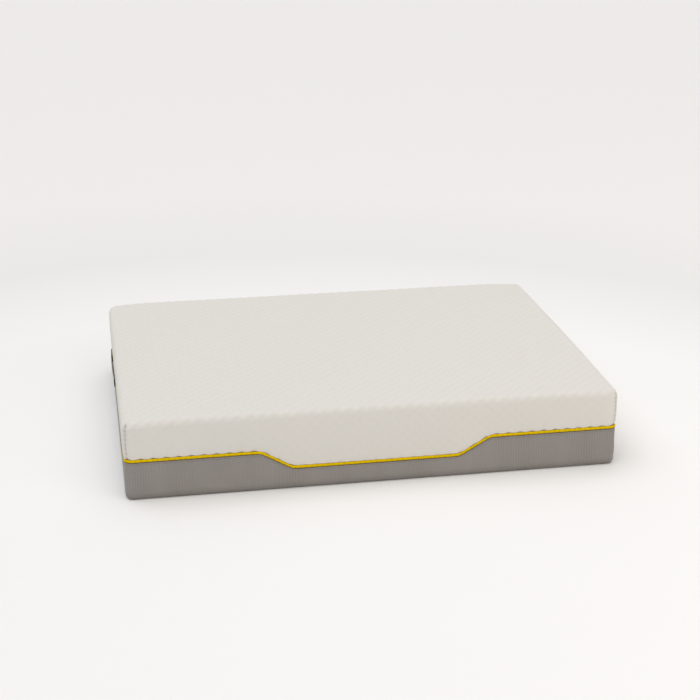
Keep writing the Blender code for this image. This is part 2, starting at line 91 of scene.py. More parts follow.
# The knit's pattern: a lattice of short slanting dents, "/" at its corners and "\" at its centres
DENT_X, DENT_Y = 0.0464, 0.0450
DENT_LONG, DENT_WIDE = 0.0150, 0.0075
DENT_CENTRES = 0.75  # how strong the dents at the centres are
RIDGE_FADE, RIDGE_PAST = 0.020, 0.016  # where the shaded ridges fade, at the sides and past the front edge

# Sewing: the pitch, length and radius of each kind of stitch, and the pitch of the piping's gathers
DART_STITCH = (0.0052, 0.0046, 0.0006)
BORDER_STITCH = (0.0056, 0.0042, 0.00042)
BOX_STITCH = (0.0036, 0.0030, 0.00042)
GATHER_PITCH = 0.0205

# The spacer mesh: its holes stand in staggered columns
MESH_X, MESH_Z = 0.0202, 0.00736

# The middle and reach of the pool of light painted on the studio floor
LIT_X, LIT_Y, LIT_REACH = -0.3, -0.9, 2.3


# ---------------------------------------------------------------- shader arithmetic
class Field:
    """A number that varies over a surface. Arithmetic on it adds Math nodes to the material."""

    def __init__(self, tree, socket):
        self.tree = tree
        self.socket = socket

    def math(self, operation, *others):
        node = self.tree.nodes.new("ShaderNodeMath")
        node.operation = operation
        for slot, value in zip(node.inputs, (self, *others)):
            if isinstance(value, Field):
                self.tree.links.new(value.socket, slot)
            else:
                slot.default_value = value
        return Field(self.tree, node.outputs[0])

    def __add__(self, other):
        return self.math("ADD", other)

    def __sub__(self, other):
        return self.math("SUBTRACT", other)

    def __mul__(self, other):
        return self.math("MULTIPLY", other)

    def __truediv__(self, other):
        return self.math("DIVIDE", other)

    def wave(self, pitch):
        """A cosine that repeats every pitch."""
        return (self * (2 * math.pi / pitch)).math("COSINE")

    def folded(self, pitch):
        """The distance from the nearest multiple of pitch, with its sign."""
        return ((self / pitch + 0.5).math("FRACT") - 0.5) * pitch

    def above(self, edge, top):
        """0 below edge, 1 above top, and a straight ramp between."""
        return ((self - edge) / (top - edge)).math("MINIMUM", 1.0).math("MAXIMUM", 0.0)


class Finish:
    """A Principled material that is built up from fields."""

    def __init__(self, name, colour, roughness, sheen=0.0, metallic=0.0):
        self.material = bpy.data.materials.new(name)
        self.material.use_nodes = True
        self.tree = self.material.node_tree
        self.shader = self.tree.nodes["Principled BSDF"]
        self.shader.inputs["Roughness"].default_value = roughness
        self.shader.inputs["Metallic"].default_value = metallic
        self.shader.inputs["Sheen Weight"].default_value = sheen
        self.shader.inputs["Sheen Roughness"].default_value = 0.6
        self.shader.inputs["Specular IOR Level"].default_value = 0.5 if metallic else 0.25
        self.shader.inputs["Base Color"].default_value = (*colour, 1.0)
        self.colour = colour
        self.painted = None
        self.height = None

    def split(self, socket):
        node = self.tree.nodes.new("ShaderNodeSeparateXYZ")
        self.tree.links.new(socket, node.inputs[0])
        return [Field(self.tree, out) for out in node.outputs]

    def place(self):
        """The three object coordinates."""
        return self.split(self.tree.nodes.new("ShaderNodeTexCoord").outputs["Object"])

    def cloth(self):
        """The places along and across the cut cloth, and a third number that each mesh explains."""
        node = self.tree.nodes.new("ShaderNodeAttribute")
        node.attribute_name = "cloth"
        return self.split(node.outputs["Vector"])

    def noise(self, per_metre, detail=3.0, stretch=(1.0, 1.0, 1.0)):
        """Noise from 0 to 1 with about this many lumps in a metre."""
        coordinates = self.tree.nodes.new("ShaderNodeTexCoord")
        mapping = self.tree.nodes.new("ShaderNodeMapping")
        mapping.inputs["Scale"].default_value = stretch
        made = self.tree.nodes.new("ShaderNodeTexNoise")
        made.inputs["Scale"].default_value = per_metre
        made.inputs["Detail"].default_value = detail
        self.tree.links.new(coordinates.outputs["Object"], mapping.inputs[0])
        self.tree.links.new(mapping.outputs[0], made.inputs["Vector"])
        return Field(self.tree, made.outputs[0])

    def cells(self, per_metre):
        """Distance from the nearest of many scattered points, in cell widths."""
        coordinates = self.tree.nodes.new("ShaderNodeTexCoord")
        made = self.tree.nodes.new("ShaderNodeTexVoronoi")
        made.inputs["Scale"].default_value = per_metre
        self.tree.links.new(coordinates.outputs["Object"], made.inputs["Vector"])
        return Field(self.tree, made.outputs["Distance"])

    def tint(self, amount, colour):
        """Lays a colour over what is there, by a field from 0 to 1."""
        node = self.tree.nodes.new("ShaderNodeMix")
        node.data_type = "RGBA"
        self.tree.links.new(amount.socket, node.inputs["Factor"])
        if self.painted:
            self.tree.links.new(self.painted, node.inputs["A"])
        else:
            node.inputs["A"].default_value = (*self.colour, 1.0)
        node.inputs["B"].default_value = (*colour, 1.0)
        self.painted = node.outputs["Result"]
        self.tree.links.new(self.painted, self.shader.inputs["Base Color"])

    def raise_by(self, millimetres):
        """Adds a height, in millimetres, to the relief."""
        self.height = self.height + millimetres if self.height else millimetres

    def roughness(self, field):
        self.tree.links.new(field.socket, self.shader.inputs["Roughness"])

    def done(self):
        if self.height:
            bump = self.tree.nodes.new("ShaderNodeBump")
            bump.inputs["Distance"].default_value = 0.001
            self.tree.links.new(self.height.socket, bump.inputs["Height"])
            self.tree.links.new(bump.outputs[0], self.shader.inputs["Normal"])
        return self.material


def dent(u, v, long, wide):
    """1 in the middle of a slanting dent, falling to 0 at its edge. u runs along it and v across."""
    return (u * u * (-1 / long**2) - v * v * (1 / wide**2) + 1.0).math("MAXIMUM", 0.0)


def slanting_dents(x, y, long, wide):
    """The fields of the "/" dents and of the "\\" dents between them."""
    half = math.sqrt(0.5)
    marks = []
    for shift, lean in ((0.0, 1.0), (0.5, -1.0)):
        u = (x + DENT_X * shift).folded(DENT_X)
        v = (y + DENT_Y * shift).folded(DENT_Y)
        marks.append(dent((u + v * lean) * half, (u - v * lean) * half, long, wide))
    return marks


# ---------------------------------------------------------------- materials
def knit_finish():
    """White double-jersey: faint slanting dents, ridges on its top and a fine rib, with painted shade in the
    dents, along the ridges and in its folds.
    """
    made = Finish("white_knit", (0.775, 0.757, 0.715), 0.92, sheen=0.06)
    x, y, fold_shade = made.cloth()
    forward, backward = slanting_dents(x, y, DENT_LONG, DENT_WIDE)
    marks = forward + backward * DENT_CENTRES
    across, up = x * (1 / DENT_X), y * (1 / DENT_Y)
    painted_ridge_shade = (across - up).wave(1.0) + (across * 2 - up).wave(1.0) * 0.4 + (across * 2).wave(1.0) * 0.25
    inside_x = x.math("ABSOLUTE").above(HALF_X, HALF_X - RIDGE_FADE)
    inside_y = y.math("ABSOLUTE").above(HALF_Y + RIDGE_PAST, HALF_Y)
    rib = x.wave(0.0022) * y.wave(0.0016)
    # painted shade along the slanting ridges on the top, fading at the sides and past the front edge
    made.tint((painted_ridge_shade * 0.3 + 0.5) * (inside_x * inside_y) * 0.20, (0.645, 0.630, 0.595))
    made.tint(made.noise(5.0).above(0.35, 0.75) * 0.30, (0.750, 0.736, 0.702))
    # painted shade in the dents
    made.tint(marks * 0.07, (0.58, 0.590, 0.575))
    made.tint(rib.above(0.2, 1.0) * 0.08, (0.64, 0.63, 0.60))
    # painted shade in the folds at the corner darts and above the piping
    made.tint(fold_shade, (0.26, 0.235, 0.205))
    made.raise_by(marks * -0.25)
    made.raise_by(rib * 0.04)
    made.raise_by(made.noise(160.0) * 0.05)
    return made.done()


def thread_finish(name, colour):
    """Twisted sewing thread."""
    made = Finish(name, colour, 0.62, sheen=0.2)
    x, y, _ = made.cloth()
    twist = (x + y * 0.8).wave(0.0009)
    made.tint(twist.above(0.1, 1.0) * 0.4, tuple(0.72 * c for c in colour))
    made.raise_by(twist * 0.05)
    return made.done()


def wadding_finish():
    """Lofty white fibre."""
    made = Finish("fibre_wadding", (0.83, 0.83, 0.80), 0.96, sheen=0.3)
    tufts = made.noise(55.0, 6.0, (1.0, 0.45, 1.0))
    fibres = made.noise(700.0, 2.0, (1.0, 0.12, 0.5))
    made.tint(tufts.above(0.35, 0.7) * 0.30, (0.70, 0.70, 0.68))
    made.tint(fibres.above(0.5, 0.8) * 0.30, (0.92, 0.92, 0.90))
    made.raise_by(tufts * 3.0 + fibres * 0.5)
    return made.done()


def piping_finish():
    """Yellow cord under a twill wrapping, with painted shade at every gather."""
    made = Finish("yellow_cord", (0.82, 0.565, 0.001), 0.9)
    made.shader.inputs["Specular IOR Level"].default_value = 0.04
    along, around, _ = made.cloth()
    gather = along.wave(GATHER_PITCH)
    twill = (along + around * 0.9).wave(0.0021)
    # painted shade in the pinch at each gather
    made.tint(gather.above(0.72, 1.0) * 0.45, (0.50, 0.31, 0.001))
    made.tint(twill.above(0.0, 1.0) * 0.20, (0.64, 0.41, 0.001))
    made.tint(made.noise(18.0).above(0.45, 0.8) * 0.25, (0.86, 0.60, 0.004))
    made.raise_by(gather * -0.12 + twill * 0.09)
    return made.done()


def mesh_finish():
    """Grey spacer mesh: staggered holes with painted shade in them, faint upright streaks, a little wear, and
    painted shade towards the floor.
    """
    made = Finish("grey_mesh", (0.340, 0.319, 0.308), 0.80, sheen=0.15)
    along, up, level = made.cloth()
    lattice = along.wave(MESH_X) * up.wave(MESH_Z)
    holes = lattice.above(0.25, 0.75)
    strands = (along.wave(0.0017) * up.wave(0.0014)).above(0.0, 1.0)
    streaks = made.noise(14.0, 2.0, (1.0, 1.0, 0.08))
    worn = made.noise(9.0, 4.0, (1.0, 1.0, 0.25))
    made.tint(strands * 0.18, (0.22, 0.203, 0.190))
    made.tint(streaks.above(0.35, 0.70) * 0.25, (0.262, 0.243, 0.230))
    made.tint(worn.above(0.4, 0.8) * 0.25, (0.375, 0.350, 0.330))
    # painted shade in and round the holes, varied by the wear noise
    made.tint(lattice.above(-1.0, 1.0) * 0.25, (0.215, 0.199, 0.187))
    made.tint(holes * worn.above(0.9, 0.25) * 0.65, (0.100, 0.092, 0.087))
    # painted shade towards the floor, where the border curves under
    made.tint(level.above(0.030, 0.0) * 0.55, (0.15, 0.137, 0.127))
    made.raise_by(holes * -0.6 + strands * 0.12)
    return made.done()


def tape_finish():
    """Zip tape: a narrow herringbone."""
    made = Finish("zip_tape", (0.30, 0.29, 0.36), 0.85, sheen=0.1)
    along, up, _ = made.cloth()
    zigzag = (along + up.folded(0.004).math("ABSOLUTE")).wave(0.0012)
    made.tint(zigzag.above(0.0, 1.0) * 0.5, (0.20, 0.193, 0.245))
    made.tint(made.noise(60.0).above(0.4, 0.8) * 0.3, (0.35, 0.34, 0.41))
    made.raise_by(zigzag * 0.08)
    return made.done()


def coil_finish():
    """Nylon coil teeth."""
    made = Finish("zip_coil", (0.31, 0.30, 0.37), 0.42)
    made.tint(made.noise(90.0).above(0.4, 0.8) * 0.5, (0.38, 0.37, 0.44))
    made.raise_by(made.noise(900.0) * 0.03)
    return made.done()


def metal_finish():
    """Die-cast zinc, plated, with fine scratches."""
    made = Finish("zip_metal", (0.62, 0.61, 0.60), 0.3, metallic=1.0)
    scratches = made.noise(1500.0, 4.0, (0.15, 1.0, 1.0))
    made.tint(made.noise(220.0).above(0.45, 0.75) * 0.4, (0.48, 0.47, 0.46))
    made.roughness(scratches * 0.25 + 0.20)
    made.raise_by(scratches * 0.02 + made.noise(320.0) * 0.03)
    return made.done()


def webbing_finish():
    """Dark polypropylene webbing: upright ribs crossed by a fine weft."""
    made = Finish("webbing", (0.036, 0.035, 0.037), 0.62, sheen=0.25)
    along, across, _ = made.cloth()
    ribs = across.wave(0.0024)
    weft = (along + across.folded(0.0048).math("ABSOLUTE") * 1.2).wave(0.0019)
    made.tint(ribs.above(0.2, 1.0) * 0.5, (0.070, 0.068, 0.072))
    made.tint(weft.above(0.2, 1.0) * 0.4, (0.018, 0.018, 0.019))
    made.raise_by(ribs * 0.16 + weft * 0.14)
    return made.done()


def underside_finish():
    """Dark anti-slip cloth: a calendered weave with small raised grips."""
    made = Finish("underside_cloth", (0.150, 0.145, 0.140), 0.86, sheen=0.1)
    x, y, _ = made.place()
    grips = (x.wave(0.016) * y.wave(0.016)).above(0.62, 0.80)
    weave = (x.wave(0.0021) * y.wave(0.0021)).above(-0.4, 0.6)
    made.tint(weave * 0.35, (0.105, 0.101, 0.098))
    made.tint(made.noise(8.0, 4.0).above(0.4, 0.8) * 0.4, (0.19, 0.183, 0.175))
    made.tint(grips * 0.8, (0.052, 0.050, 0.050))
    made.raise_by(grips * 0.7 + weave * 0.08)
    return made.done()


def foam_finish(name, colour, pore):
    """Cut open-cell foam: pores, with a few larger bubbles, painted shade in both, and slight mottling."""
    made = Finish(name, colour, 0.95, sheen=0.15)
    pores = made.cells(1 / pore).above(0.55, 0.15)
    bubbles = made.cells(0.09 / pore).above(0.16, 0.08)
    made.tint(made.noise(6.0, 4.0).above(0.35, 0.75) * 0.4, tuple(0.88 * c for c in colour))
    # painted shade in the pores and bubbles
    made.tint(pores * 0.30, tuple(0.62 * c for c in colour))
    made.tint(bubbles * 0.5, tuple(0.5 * c for c in colour))
    made.raise_by(pores * -0.35 + bubbles * -0.7)
    return made.done()


def floor_finish():
    """Pale studio floor with a painted pool of light: a little darker further off, darkest in a band before
    the far floor.
    """
    made = Finish("studio_floor", (0.938, 0.937, 0.935), 0.95)
    x, y, _ = made.place()
    reach = ((x - LIT_X) * (x - LIT_X) + (y - LIT_Y) * (y - LIT_Y)).math("SQRT")
    # painted falloff of light away from the lit middle of the floor
    made.tint(reach.above(LIT_REACH, LIT_REACH + 1.0), (0.856, 0.852, 0.845))
    made.tint(reach.above(LIT_REACH + 1.0, LIT_REACH + 2.3), (0.898, 0.887, 0.878))
    made.tint(made.noise(0.7).above(0.3, 0.7) * 0.1, (0.890, 0.882, 0.874))
    return made.done()


# ---------------------------------------------------------------- meshes
def add_mesh(name, points, faces, finish, cloth=None, more_faces=()):
    """A smooth mesh object from arrays. cloth holds its points' places on the cut cloth, and more_faces its
    faces that aren't quads."""
    mesh = bpy.data.meshes.new(name)
    faces = np.asarray(faces).tolist() + [[int(i) for i in face] for face in more_faces]
    mesh.from_pydata(np.asarray(points, float).tolist(), [], faces)
    if cloth is not None:
        add_values(mesh, "cloth", cloth)
    mesh.materials.append(finish)
    mesh.shade_smooth()
    obj = bpy.data.objects.new(name, mesh)
    bpy.context.scene.collection.objects.link(obj)
    return obj


def rows_of(items, field):
    """A three-number field of every item, as rows."""
    flat = np.empty(len(items) * 3, np.float32)
    items.foreach_get(field, flat)
    return flat.reshape(-1, 3).astype(float)


def points_of(mesh):
    return rows_of(mesh.vertices, "co")


def normals_of(mesh):
    return rows_of(mesh.vertex_normals, "vector")


def values_of(mesh, attribute):
    return rows_of(mesh.attributes[attribute].data, "vector")


def set_values(mesh, attribute, values):
    mesh.attributes[attribute].data.foreach_set("vector", np.asarray(values, np.float32).ravel())


def add_values(mesh, attribute, values):
    mesh.attributes.new(attribute, "FLOAT_VECTOR", "POINT")
    set_values(mesh, attribute, values)


def set_points(mesh, points):
    mesh.vertices.foreach_set("co", points.ravel())
    mesh.update()


def apply_modifiers(obj):
    """Swaps the object's mesh for the one that its modifiers make."""
    graph = bpy.context.evaluated_depsgraph_get()
    made = bpy.data.meshes.new_from_object(obj.evaluated_get(graph))
    obj.modifiers.clear()
    obj.data = made
    made.shade_smooth()
    return obj


def subdivide(obj):
    obj.modifiers.new("fine", "SUBSURF").levels = 1
    return apply_modifiers(obj)


def grid_faces(rows, columns, around=False):
    """Quads of a grid of points. around joins the last column to the first."""
    here = np.arange(rows * columns).reshape(rows, columns)
    if around:
        here = np.hstack([here, here[:, :1]])
    return np.stack([here[:-1, :-1], here[:-1, 1:], here[1:, 1:], here[1:, :-1]], -1).reshape(-1, 4)


def belongs(made, body, slot, *nodes):
    """Hangs a piece on the CAD body that it rides on and hides the CAD nodes that it stands for. slot, what it
    is made of, is not used.
    """
    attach(made, body)
    for node in nodes:
        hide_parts(node)
    return made


def bell(distance, width):
    """1 at distance 0, falling to nothing over a few widths."""
    return np.exp(-((distance / width) ** 2))


def smooth_noise(points, size, seed):
    """Soft noise about -1 to 1 with lumps of this size: a sum of plane waves in seeded directions."""
    seeded = np.random.default_rng(seed)
    total = np.zeros(len(points))
    for _ in range(9):
        direction = seeded.normal(size=3)
        direction /= np.linalg.norm(direction)
        length = size * seeded.uniform(0.7, 1.6)
        total += np.sin(points @ direction * (2 * math.pi / length) + seeded.uniform(0, 6.3))
    return total / 3.0


# ---------------------------------------------------------------- outlines
def soft_step(u):
    return 0.5 * (u + np.sqrt(u * u + DIP_SOFT * DIP_SOFT))


def piping_height(x, y):
    """The height of the piping's centre: level, with a flat-bottomed dip in the middle of the front."""
    slope = (PIPING_Z - DIP_Z) / (DIP_HIGH - DIP_LOW)
    climb = soft_step(np.abs(x) - DIP_LOW) - soft_step(np.abs(x) - DIP_HIGH)
    ends = soft_step(HALF_X - DIP_LOW) - soft_step(HALF_X - DIP_HIGH)
    return np.where(y > 0, PIPING_Z, PIPING_Z - slope * (ends - climb))


class Outline:
    """Places round a rounded rectangle, anticlockwise from the middle of the back, with both ends there."""

    def __init__(self, half_x, half_y, radius, spacing, corner_steps=10):
        angles = np.radians(np.linspace(0, 90, corner_steps + 1))
        seam = np.array([[0.0, half_y, 0.0, 1.0]])
        corners = []
        for side_x, side_y, start in ((-1, 1, 90), (-1, -1, 180), (1, -1, 270), (1, 1, 0)):
            turned = angles + math.radians(start)
            nx, ny = np.cos(turned), np.sin(turned)
            x, y = side_x * (half_x - radius) + radius * nx, side_y * (half_y - radius) + radius * ny
            corners.append(np.stack([x, y, nx, ny], -1))
        place = np.vstack([seam, *corners, seam])
        rows = [place[:1]]
        for here, there in zip(place[:-1], place[1:]):
            steps = max(1, round(np.hypot(*(there - here)[:2]) / spacing))
            share = np.linspace(0, 1, steps + 1)[1:, None]
            rows.append(here + (there - here) * share)
        self.x, self.y, self.nx, self.ny = np.vstack(rows).T
        steps = np.hypot(np.diff(self.x), np.diff(self.y))
        self.along = np.concatenate([[0.0], np.cumsum(steps)])
        self.length = self.along[-1]

    def points(self, out, z):
        """Points at a distance outside the outline and a height. Either may vary along it."""
        z = np.broadcast_to(z, self.x.shape)
        return np.stack([self.x + self.nx * out, self.y + self.ny * out, z], -1)


def sweep(name, outline, section, finish):
    """Carries a section round an outline, as a closed strip whose two ends meet.

    section is a list of (out, z) arrays that go down the outer side and up the inner one."""
    rings = np.stack([outline.points(out, z) for out, z in section], 1)
    across = np.linalg.norm(np.diff(rings, axis=1), axis=-1)
    across = np.hstack([np.zeros((len(rings), 1)), np.cumsum(across, 1)])
    along = np.broadcast_to(outline.along[:, None], across.shape)
    cloth = np.stack([along, across, rings[..., 2]], -1)
    faces = grid_faces(*across.shape, around=True)
    ends = [np.arange(len(section))[::-1], np.arange(len(section)) + across.size - len(section)]
    return add_mesh(name, rings.reshape(-1, 3), faces, finish, cloth.reshape(-1, 3), ends)


# ---------------------------------------------------------------- stitches
def stitches(name, places, ways, ups, length, radius, finish):
    """Short rounded stitches: at each place, lying along its way, with its up pointing out of the cloth."""
    turns = np.linspace(0, 2 * math.pi, 6, endpoint=False)
    along = np.array([-0.5, -0.38, -0.15, 0.15, 0.38, 0.5])
    swell = np.array([0.25, 0.75, 1.0, 1.0, 0.75, 0.25])
    arch = np.array([-1.3, -0.35, 0.15, 0.15, -0.35, -1.3])
    sides = np.cross(ways, ups)
    shape = (len(places), len(along), len(turns))
    reach = np.broadcast_to(along[None, :, None] * length, shape)
    aside = np.broadcast_to(swell[None, :, None] * radius * np.cos(turns), shape)
    lift = np.broadcast_to((arch[None, :, None] + swell[None, :, None] * np.sin(turns)) * radius, shape)
    points = places[:, None, None] + ways[:, None, None] * reach[..., None]
    points = points + sides[:, None, None] * aside[..., None] + ups[:, None, None] * lift[..., None]
    block = len(along) * len(turns)
    one = grid_faces(len(along), len(turns), around=True)
    faces = (one[None] + (np.arange(len(places)) * block)[:, None, None]).reshape(-1, 4)
    caps = [np.arange(5, -1, -1), np.arange(block - 6, block)]
    more = [cap + k * block for k in range(len(places)) for cap in caps]
    cloth = np.stack([reach, aside, lift], -1)
    return add_mesh(name, points.reshape(-1, 3), faces, finish, cloth.reshape(-1, 3), more)


def between(marks, along, rows):
    """Rows of numbers, read at other distances along them."""
    return np.stack([np.interp(marks, along, column) for column in rows.T], -1)


def stitched_line(name, line, ups, stitch, finish):
    """A row of stitches along a polyline. ups holds the way out of the cloth at each of its points."""
    pitch, length, radius = stitch
    steps = np.linalg.norm(np.diff(line, axis=0), axis=1)
    along = np.concatenate([[0.0], np.cumsum(steps)])
    marks = np.arange(pitch / 2, along[-1], pitch)
    ways = between(marks + pitch / 4, along, line) - between(marks - pitch / 4, along, line)
    ways /= np.linalg.norm(ways, axis=1)[:, None]
    places, ups = between(marks, along, line), between(marks, along, ups)
    return stitches(name, places, ways, ups, length, radius, finish)


# ---------------------------------------------------------------- caps: a top with four sides
CORNER_CELLS = 3


def grid_lines(half, radius, cell):
    """Grid lines from -half to half: even, with the corner zones divided on their own."""
    zone = np.linspace(0, radius, CORNER_CELLS + 1)
    steps = max(2, round(2 * (half - radius) / cell))
    middle = np.linspace(radius - half, half - radius, steps + 1)[1:-1]
    return np.concatenate([zone - half, middle, half - radius + zone])


def corner_rounded(x, y, half_x, half_y, radius):
    """Moves grid points so that the grid's square corners become quarter discs."""
    a = np.clip((np.abs(x) - (half_x - radius)) / radius, 0, None)
    b = np.clip((np.abs(y) - (half_y - radius)) / radius, 0, None)
    shrink = np.maximum(a, b) / np.maximum(np.hypot(a, b), 1e-12)
    inside = (a > 0) & (b > 0)
    moved_x = np.where(inside, np.sign(x) * (half_x - radius + a * shrink * radius), x)
    moved_y = np.where(inside, np.sign(y) * (half_y - radius + b * shrink * radius), y)
    return moved_x, moved_y


class Cap:
    """An upside-down tray: a grid on top and four sides that hang from its edge and meet at the corners.

    rings is a list of (out, corner radius), the first for the grid's own edge. heights(x, y, k) gives the
    height of ring k, and top(x, y) that of the grid. cloth holds each point's place on the cut cloth, and
    border how far it is above the seam, from the nearest corner, and below the grid."""

    def __init__(self, half_x, half_y, lines_x, lines_y, rings, heights, top):
        out, radius = rings[0]
        x, y = np.meshgrid(lines_x, lines_y, indexing="ij")
        x, y = corner_rounded(x, y, half_x + out, half_y + out, radius)
        index = np.arange(x.size).reshape(x.shape)
        self.points = np.stack([x, y, top(x, y)], -1).reshape(-1, 3)
        self.cloth = np.stack([x, y, np.ones_like(x)], -1).reshape(-1, 3)
        self.border = np.ones_like(self.points)
        self.faces = grid_faces(*x.shape)[:, ::-1]
        self.rim = []
        long_way, short_way = (lines_x, half_x, half_y), (lines_y, half_y, half_x)
        self.add_side((1, 0, 0), (0, -1, 0), *long_way, index[:, 0], rings, heights)
        self.add_side((0, 1, 0), (1, 0, 0), *short_way, index[-1], rings, heights)
        self.add_side((-1, 0, 0), (0, 1, 0), *long_way, index[::-1, -1], rings, heights)
        self.add_side((0, -1, 0), (-1, 0, 0), *short_way, index[0, ::-1], rings, heights)

    def add_side(self, along, away, lines, half_along, half_away, first, rings, heights):
        """Hangs one side from the grid points of one edge. along is the way that they run."""
        along, away = np.array(along, float), np.array(away, float)
        if along.sum() < 0:
            lines = -lines[::-1]
        block = []
        for k, ring in enumerate(rings):
            p, q, arc = self.place(lines, half_along, half_away, rings[0], ring)
            points = along * p[:, None] + away * q[:, None]
            points[:, 2] = heights(points[:, 0], points[:, 1], k)
            block.append(points)
        block = np.stack(block)
        block[0, :, 2] = self.points[first, 2]
        down = np.linalg.norm(np.diff(block, axis=0), axis=-1)
        down = np.vstack([np.zeros(len(lines)), np.cumsum(down, 0)])
        cloth = along * arc[None, :, None] + away * (half_away + rings[0][0] + down)[..., None]
        cloth[..., 2] = 1.0
        from_corner = np.broadcast_to(arc.max() - np.abs(arc), down.shape)
        border = np.stack([down[-1] - down, from_corner, down], -1)
        self.border[first] = border[0]
        below = len(self.points) + np.arange(down[1:].size).reshape(-1, len(lines))
        rows = np.vstack([first, below])
        cells = np.stack([rows[:-1, :-1], rows[1:, :-1], rows[1:, 1:], rows[:-1, 1:]], -1)
        self.faces = np.vstack([self.faces, cells.reshape(-1, 4)])
        self.points = np.vstack([self.points, block[1:].reshape(-1, 3)])
        self.cloth = np.vstack([self.cloth, cloth[1:].reshape(-1, 3)])
        self.border = np.vstack([self.border, border[1:].reshape(-1, 3)])
        self.rim.append(rows[-1])

    def place(self, lines, half_along, half_away, edge, ring):
        """Local places of one ring on one side: along it, outwards, and the distance along the cloth."""
        straight = half_along + edge[0] - edge[1]
        out, radius = ring
        inside = np.clip(lines, -straight, straight)
        over = np.clip((np.abs(lines) - straight) / edge[1], 0, 1)
        turn = np.arctan(over)
        p = inside / straight * (half_along + out - radius) + np.sign(lines) * radius * np.sin(turn)
        q = half_away + out - radius + radius * np.cos(turn)
        return p, q, inside + np.sign(lines) * radius * turn

    def object(self, name, finish):
        made = add_mesh(name, self.points, self.faces, finish, self.cloth)
        add_values(made.data, "border", self.border)
        return made

    def rim_loop(self):
        """The bottom edge's points in order, corners once."""
        return np.concatenate([side[:-1] for side in self.rim])


# ---------------------------------------------------------------- knitted cover
KNIT_CELL, WADDING_CELL = 0.0131, 0.020
CREST_RINGS = 6
SIDE_RINGS = 12
PUFF = 0.0012  # the most that the cloth may swell between its dents
PINNED_SIZE, PINNED_FROM = 0.0085, 0.42  # the middle of each dent, which is held down
SLUMP, SLUMP_FROM = 0.0075, 0.255  # the most that an upper corner sinks, and the height where that starts
SLUMP_WIDE, SLUMP_LONG = 0.10, 0.32
CREST_ROUNDING = 0.004  # how much rounder the corners are at the upper edge than at the piping
TIGHTEST_CORNER = 0.012

# The knit's relief: heights and depths first, then how far each reaches
DENT_DEPTH = 0.0005
RIDGES_SIDE, RIDGES_TOP, RIDGES_CREST, BEADS = 0.00022, 0.00055, 0.0016, 0.00020
CREST_REACH, CREST_DROP, CREST_SIDES = 0.040, 0.026, 0.35
GATHER_DEPTH, GATHER_RISE, GATHER_REACH, GATHER_LIP = 0.0016, 0.0014, 0.009, 0.004
GROOVE_DEPTH, GROOVE_WIDTH = 0.0036, 0.0040
PUCKER_HEIGHT, PUCKER_REACH, PUCKER_PITCH = 0.0012, 0.018, 0.0185
WANDER, WANDER_SIZE = 0.0003, 0.22


def crest_stations(inset, steps):
    """(out, height) round the upper edge, a quarter circle, from the flat top to the upright side."""
    radius = CREST_R - inset
    turns = np.linspace(math.pi / 2, 0, steps + 1)
    out = SKIRT_BULGE - CREST_R + radius * np.cos(turns)
    return np.stack([out, HEIGHT - CREST_R + radius * np.sin(turns)], -1)


def knit_radius(out, share=0.0):
    """A corner's plan radius at a distance outside the border. It is rounder at the upper edge, share 0."""
    return max(CORNER_R + out + CREST_ROUNDING * (1 - share) ** 2, TIGHTEST_CORNER)


def knit_cap():
    """The cover's mesh: level rings round the upper edge, then ones that follow the piping more and more."""
    crest = crest_stations(0.0, CREST_RINGS)
    shares = np.linspace(0, 1, SIDE_RINGS + 1)[1:]
    sides = SKIRT_BULGE + (SKIRT_PINCH - SKIRT_BULGE) * shares**6
    outs = np.concatenate([crest[:, 0], sides])

    def heights(x, y, k):
        if k < len(crest):
            return np.full_like(x, crest[k, 1])
        seam = piping_height(x, y) + SKIRT_BOTTOM
        return crest[-1, 1] + (seam - crest[-1, 1]) * shares[k - len(crest)]

    def top(x, y):
        return np.full_like(x, HEIGHT)

    lines_x = grid_lines(HALF_X + outs[0], knit_radius(outs[0]), KNIT_CELL)
    lines_y = grid_lines(HALF_Y + outs[0], knit_radius(outs[0]), KNIT_CELL)
    down = np.concatenate([np.zeros(len(crest)), shares])
    rings = [(out, knit_radius(out, share)) for out, share in zip(outs, down)]
    return Cap(HALF_X, HALF_Y, lines_x, lines_y, rings, heights, top)


def dent_depth(x, y, long, wide):
    """From 0 to 1, how far into a dent each place on the cloth is: 1 in its middle."""
    depth = np.zeros_like(x)
    for shift, lean, strength in ((0.0, 1.0, 1.0), (0.5, -1.0, DENT_CENTRES)):
        u = ((x / DENT_X + shift + 0.5) % 1.0 - 0.5) * DENT_X
        v = ((y / DENT_Y + shift + 0.5) % 1.0 - 0.5) * DENT_Y
        along = (u + v * lean) * math.sqrt(0.5)
        across = (u - v * lean) * math.sqrt(0.5)
        depth = np.maximum(depth, strength * np.exp(-((along / long) ** 2) - (across / wide) ** 2))
    return depth


def inflate(obj, pinned, most):
    """Swells the cloth between its pinned points, by a simulation under pressure. No point moves further
    than most."""
    before = points_of(obj.data)
    group = obj.vertex_groups.new(name="pinned")
    group.add(np.flatnonzero(pinned).tolist(), 1.0, "REPLACE")
    modifier = obj.modifiers.new("cloth", "CLOTH")
    settings = modifier.settings
    settings.vertex_group_mass = "pinned"
    settings.mass = 0.02
    settings.quality = 4
    settings.tension_stiffness = 25
    settings.compression_stiffness = 8
    settings.shear_stiffness = 10
    settings.bending_stiffness = 0.2
    settings.air_damping = 2.0
    settings.use_pressure = True
    settings.uniform_pressure_force = 4.0
    settings.effector_weights.gravity = 0.0
    modifier.collision_settings.use_collision = False
    modifier.point_cache.frame_start = 1
    modifier.point_cache.frame_end = 20
    for number in range(1, 21):
        bpy.context.scene.frame_set(number)
    graph = bpy.context.evaluated_depsgraph_get()
    after = points_of(obj.evaluated_get(graph).data)
    obj.modifiers.remove(modifier)
    obj.vertex_groups.clear()
    bpy.context.scene.frame_set(1)
    moved = after - before
    reach = np.maximum(np.linalg.norm(moved, axis=1), 1e-9)
    set_points(obj.data, before + moved * np.minimum(1.0, most / reach)[:, None])


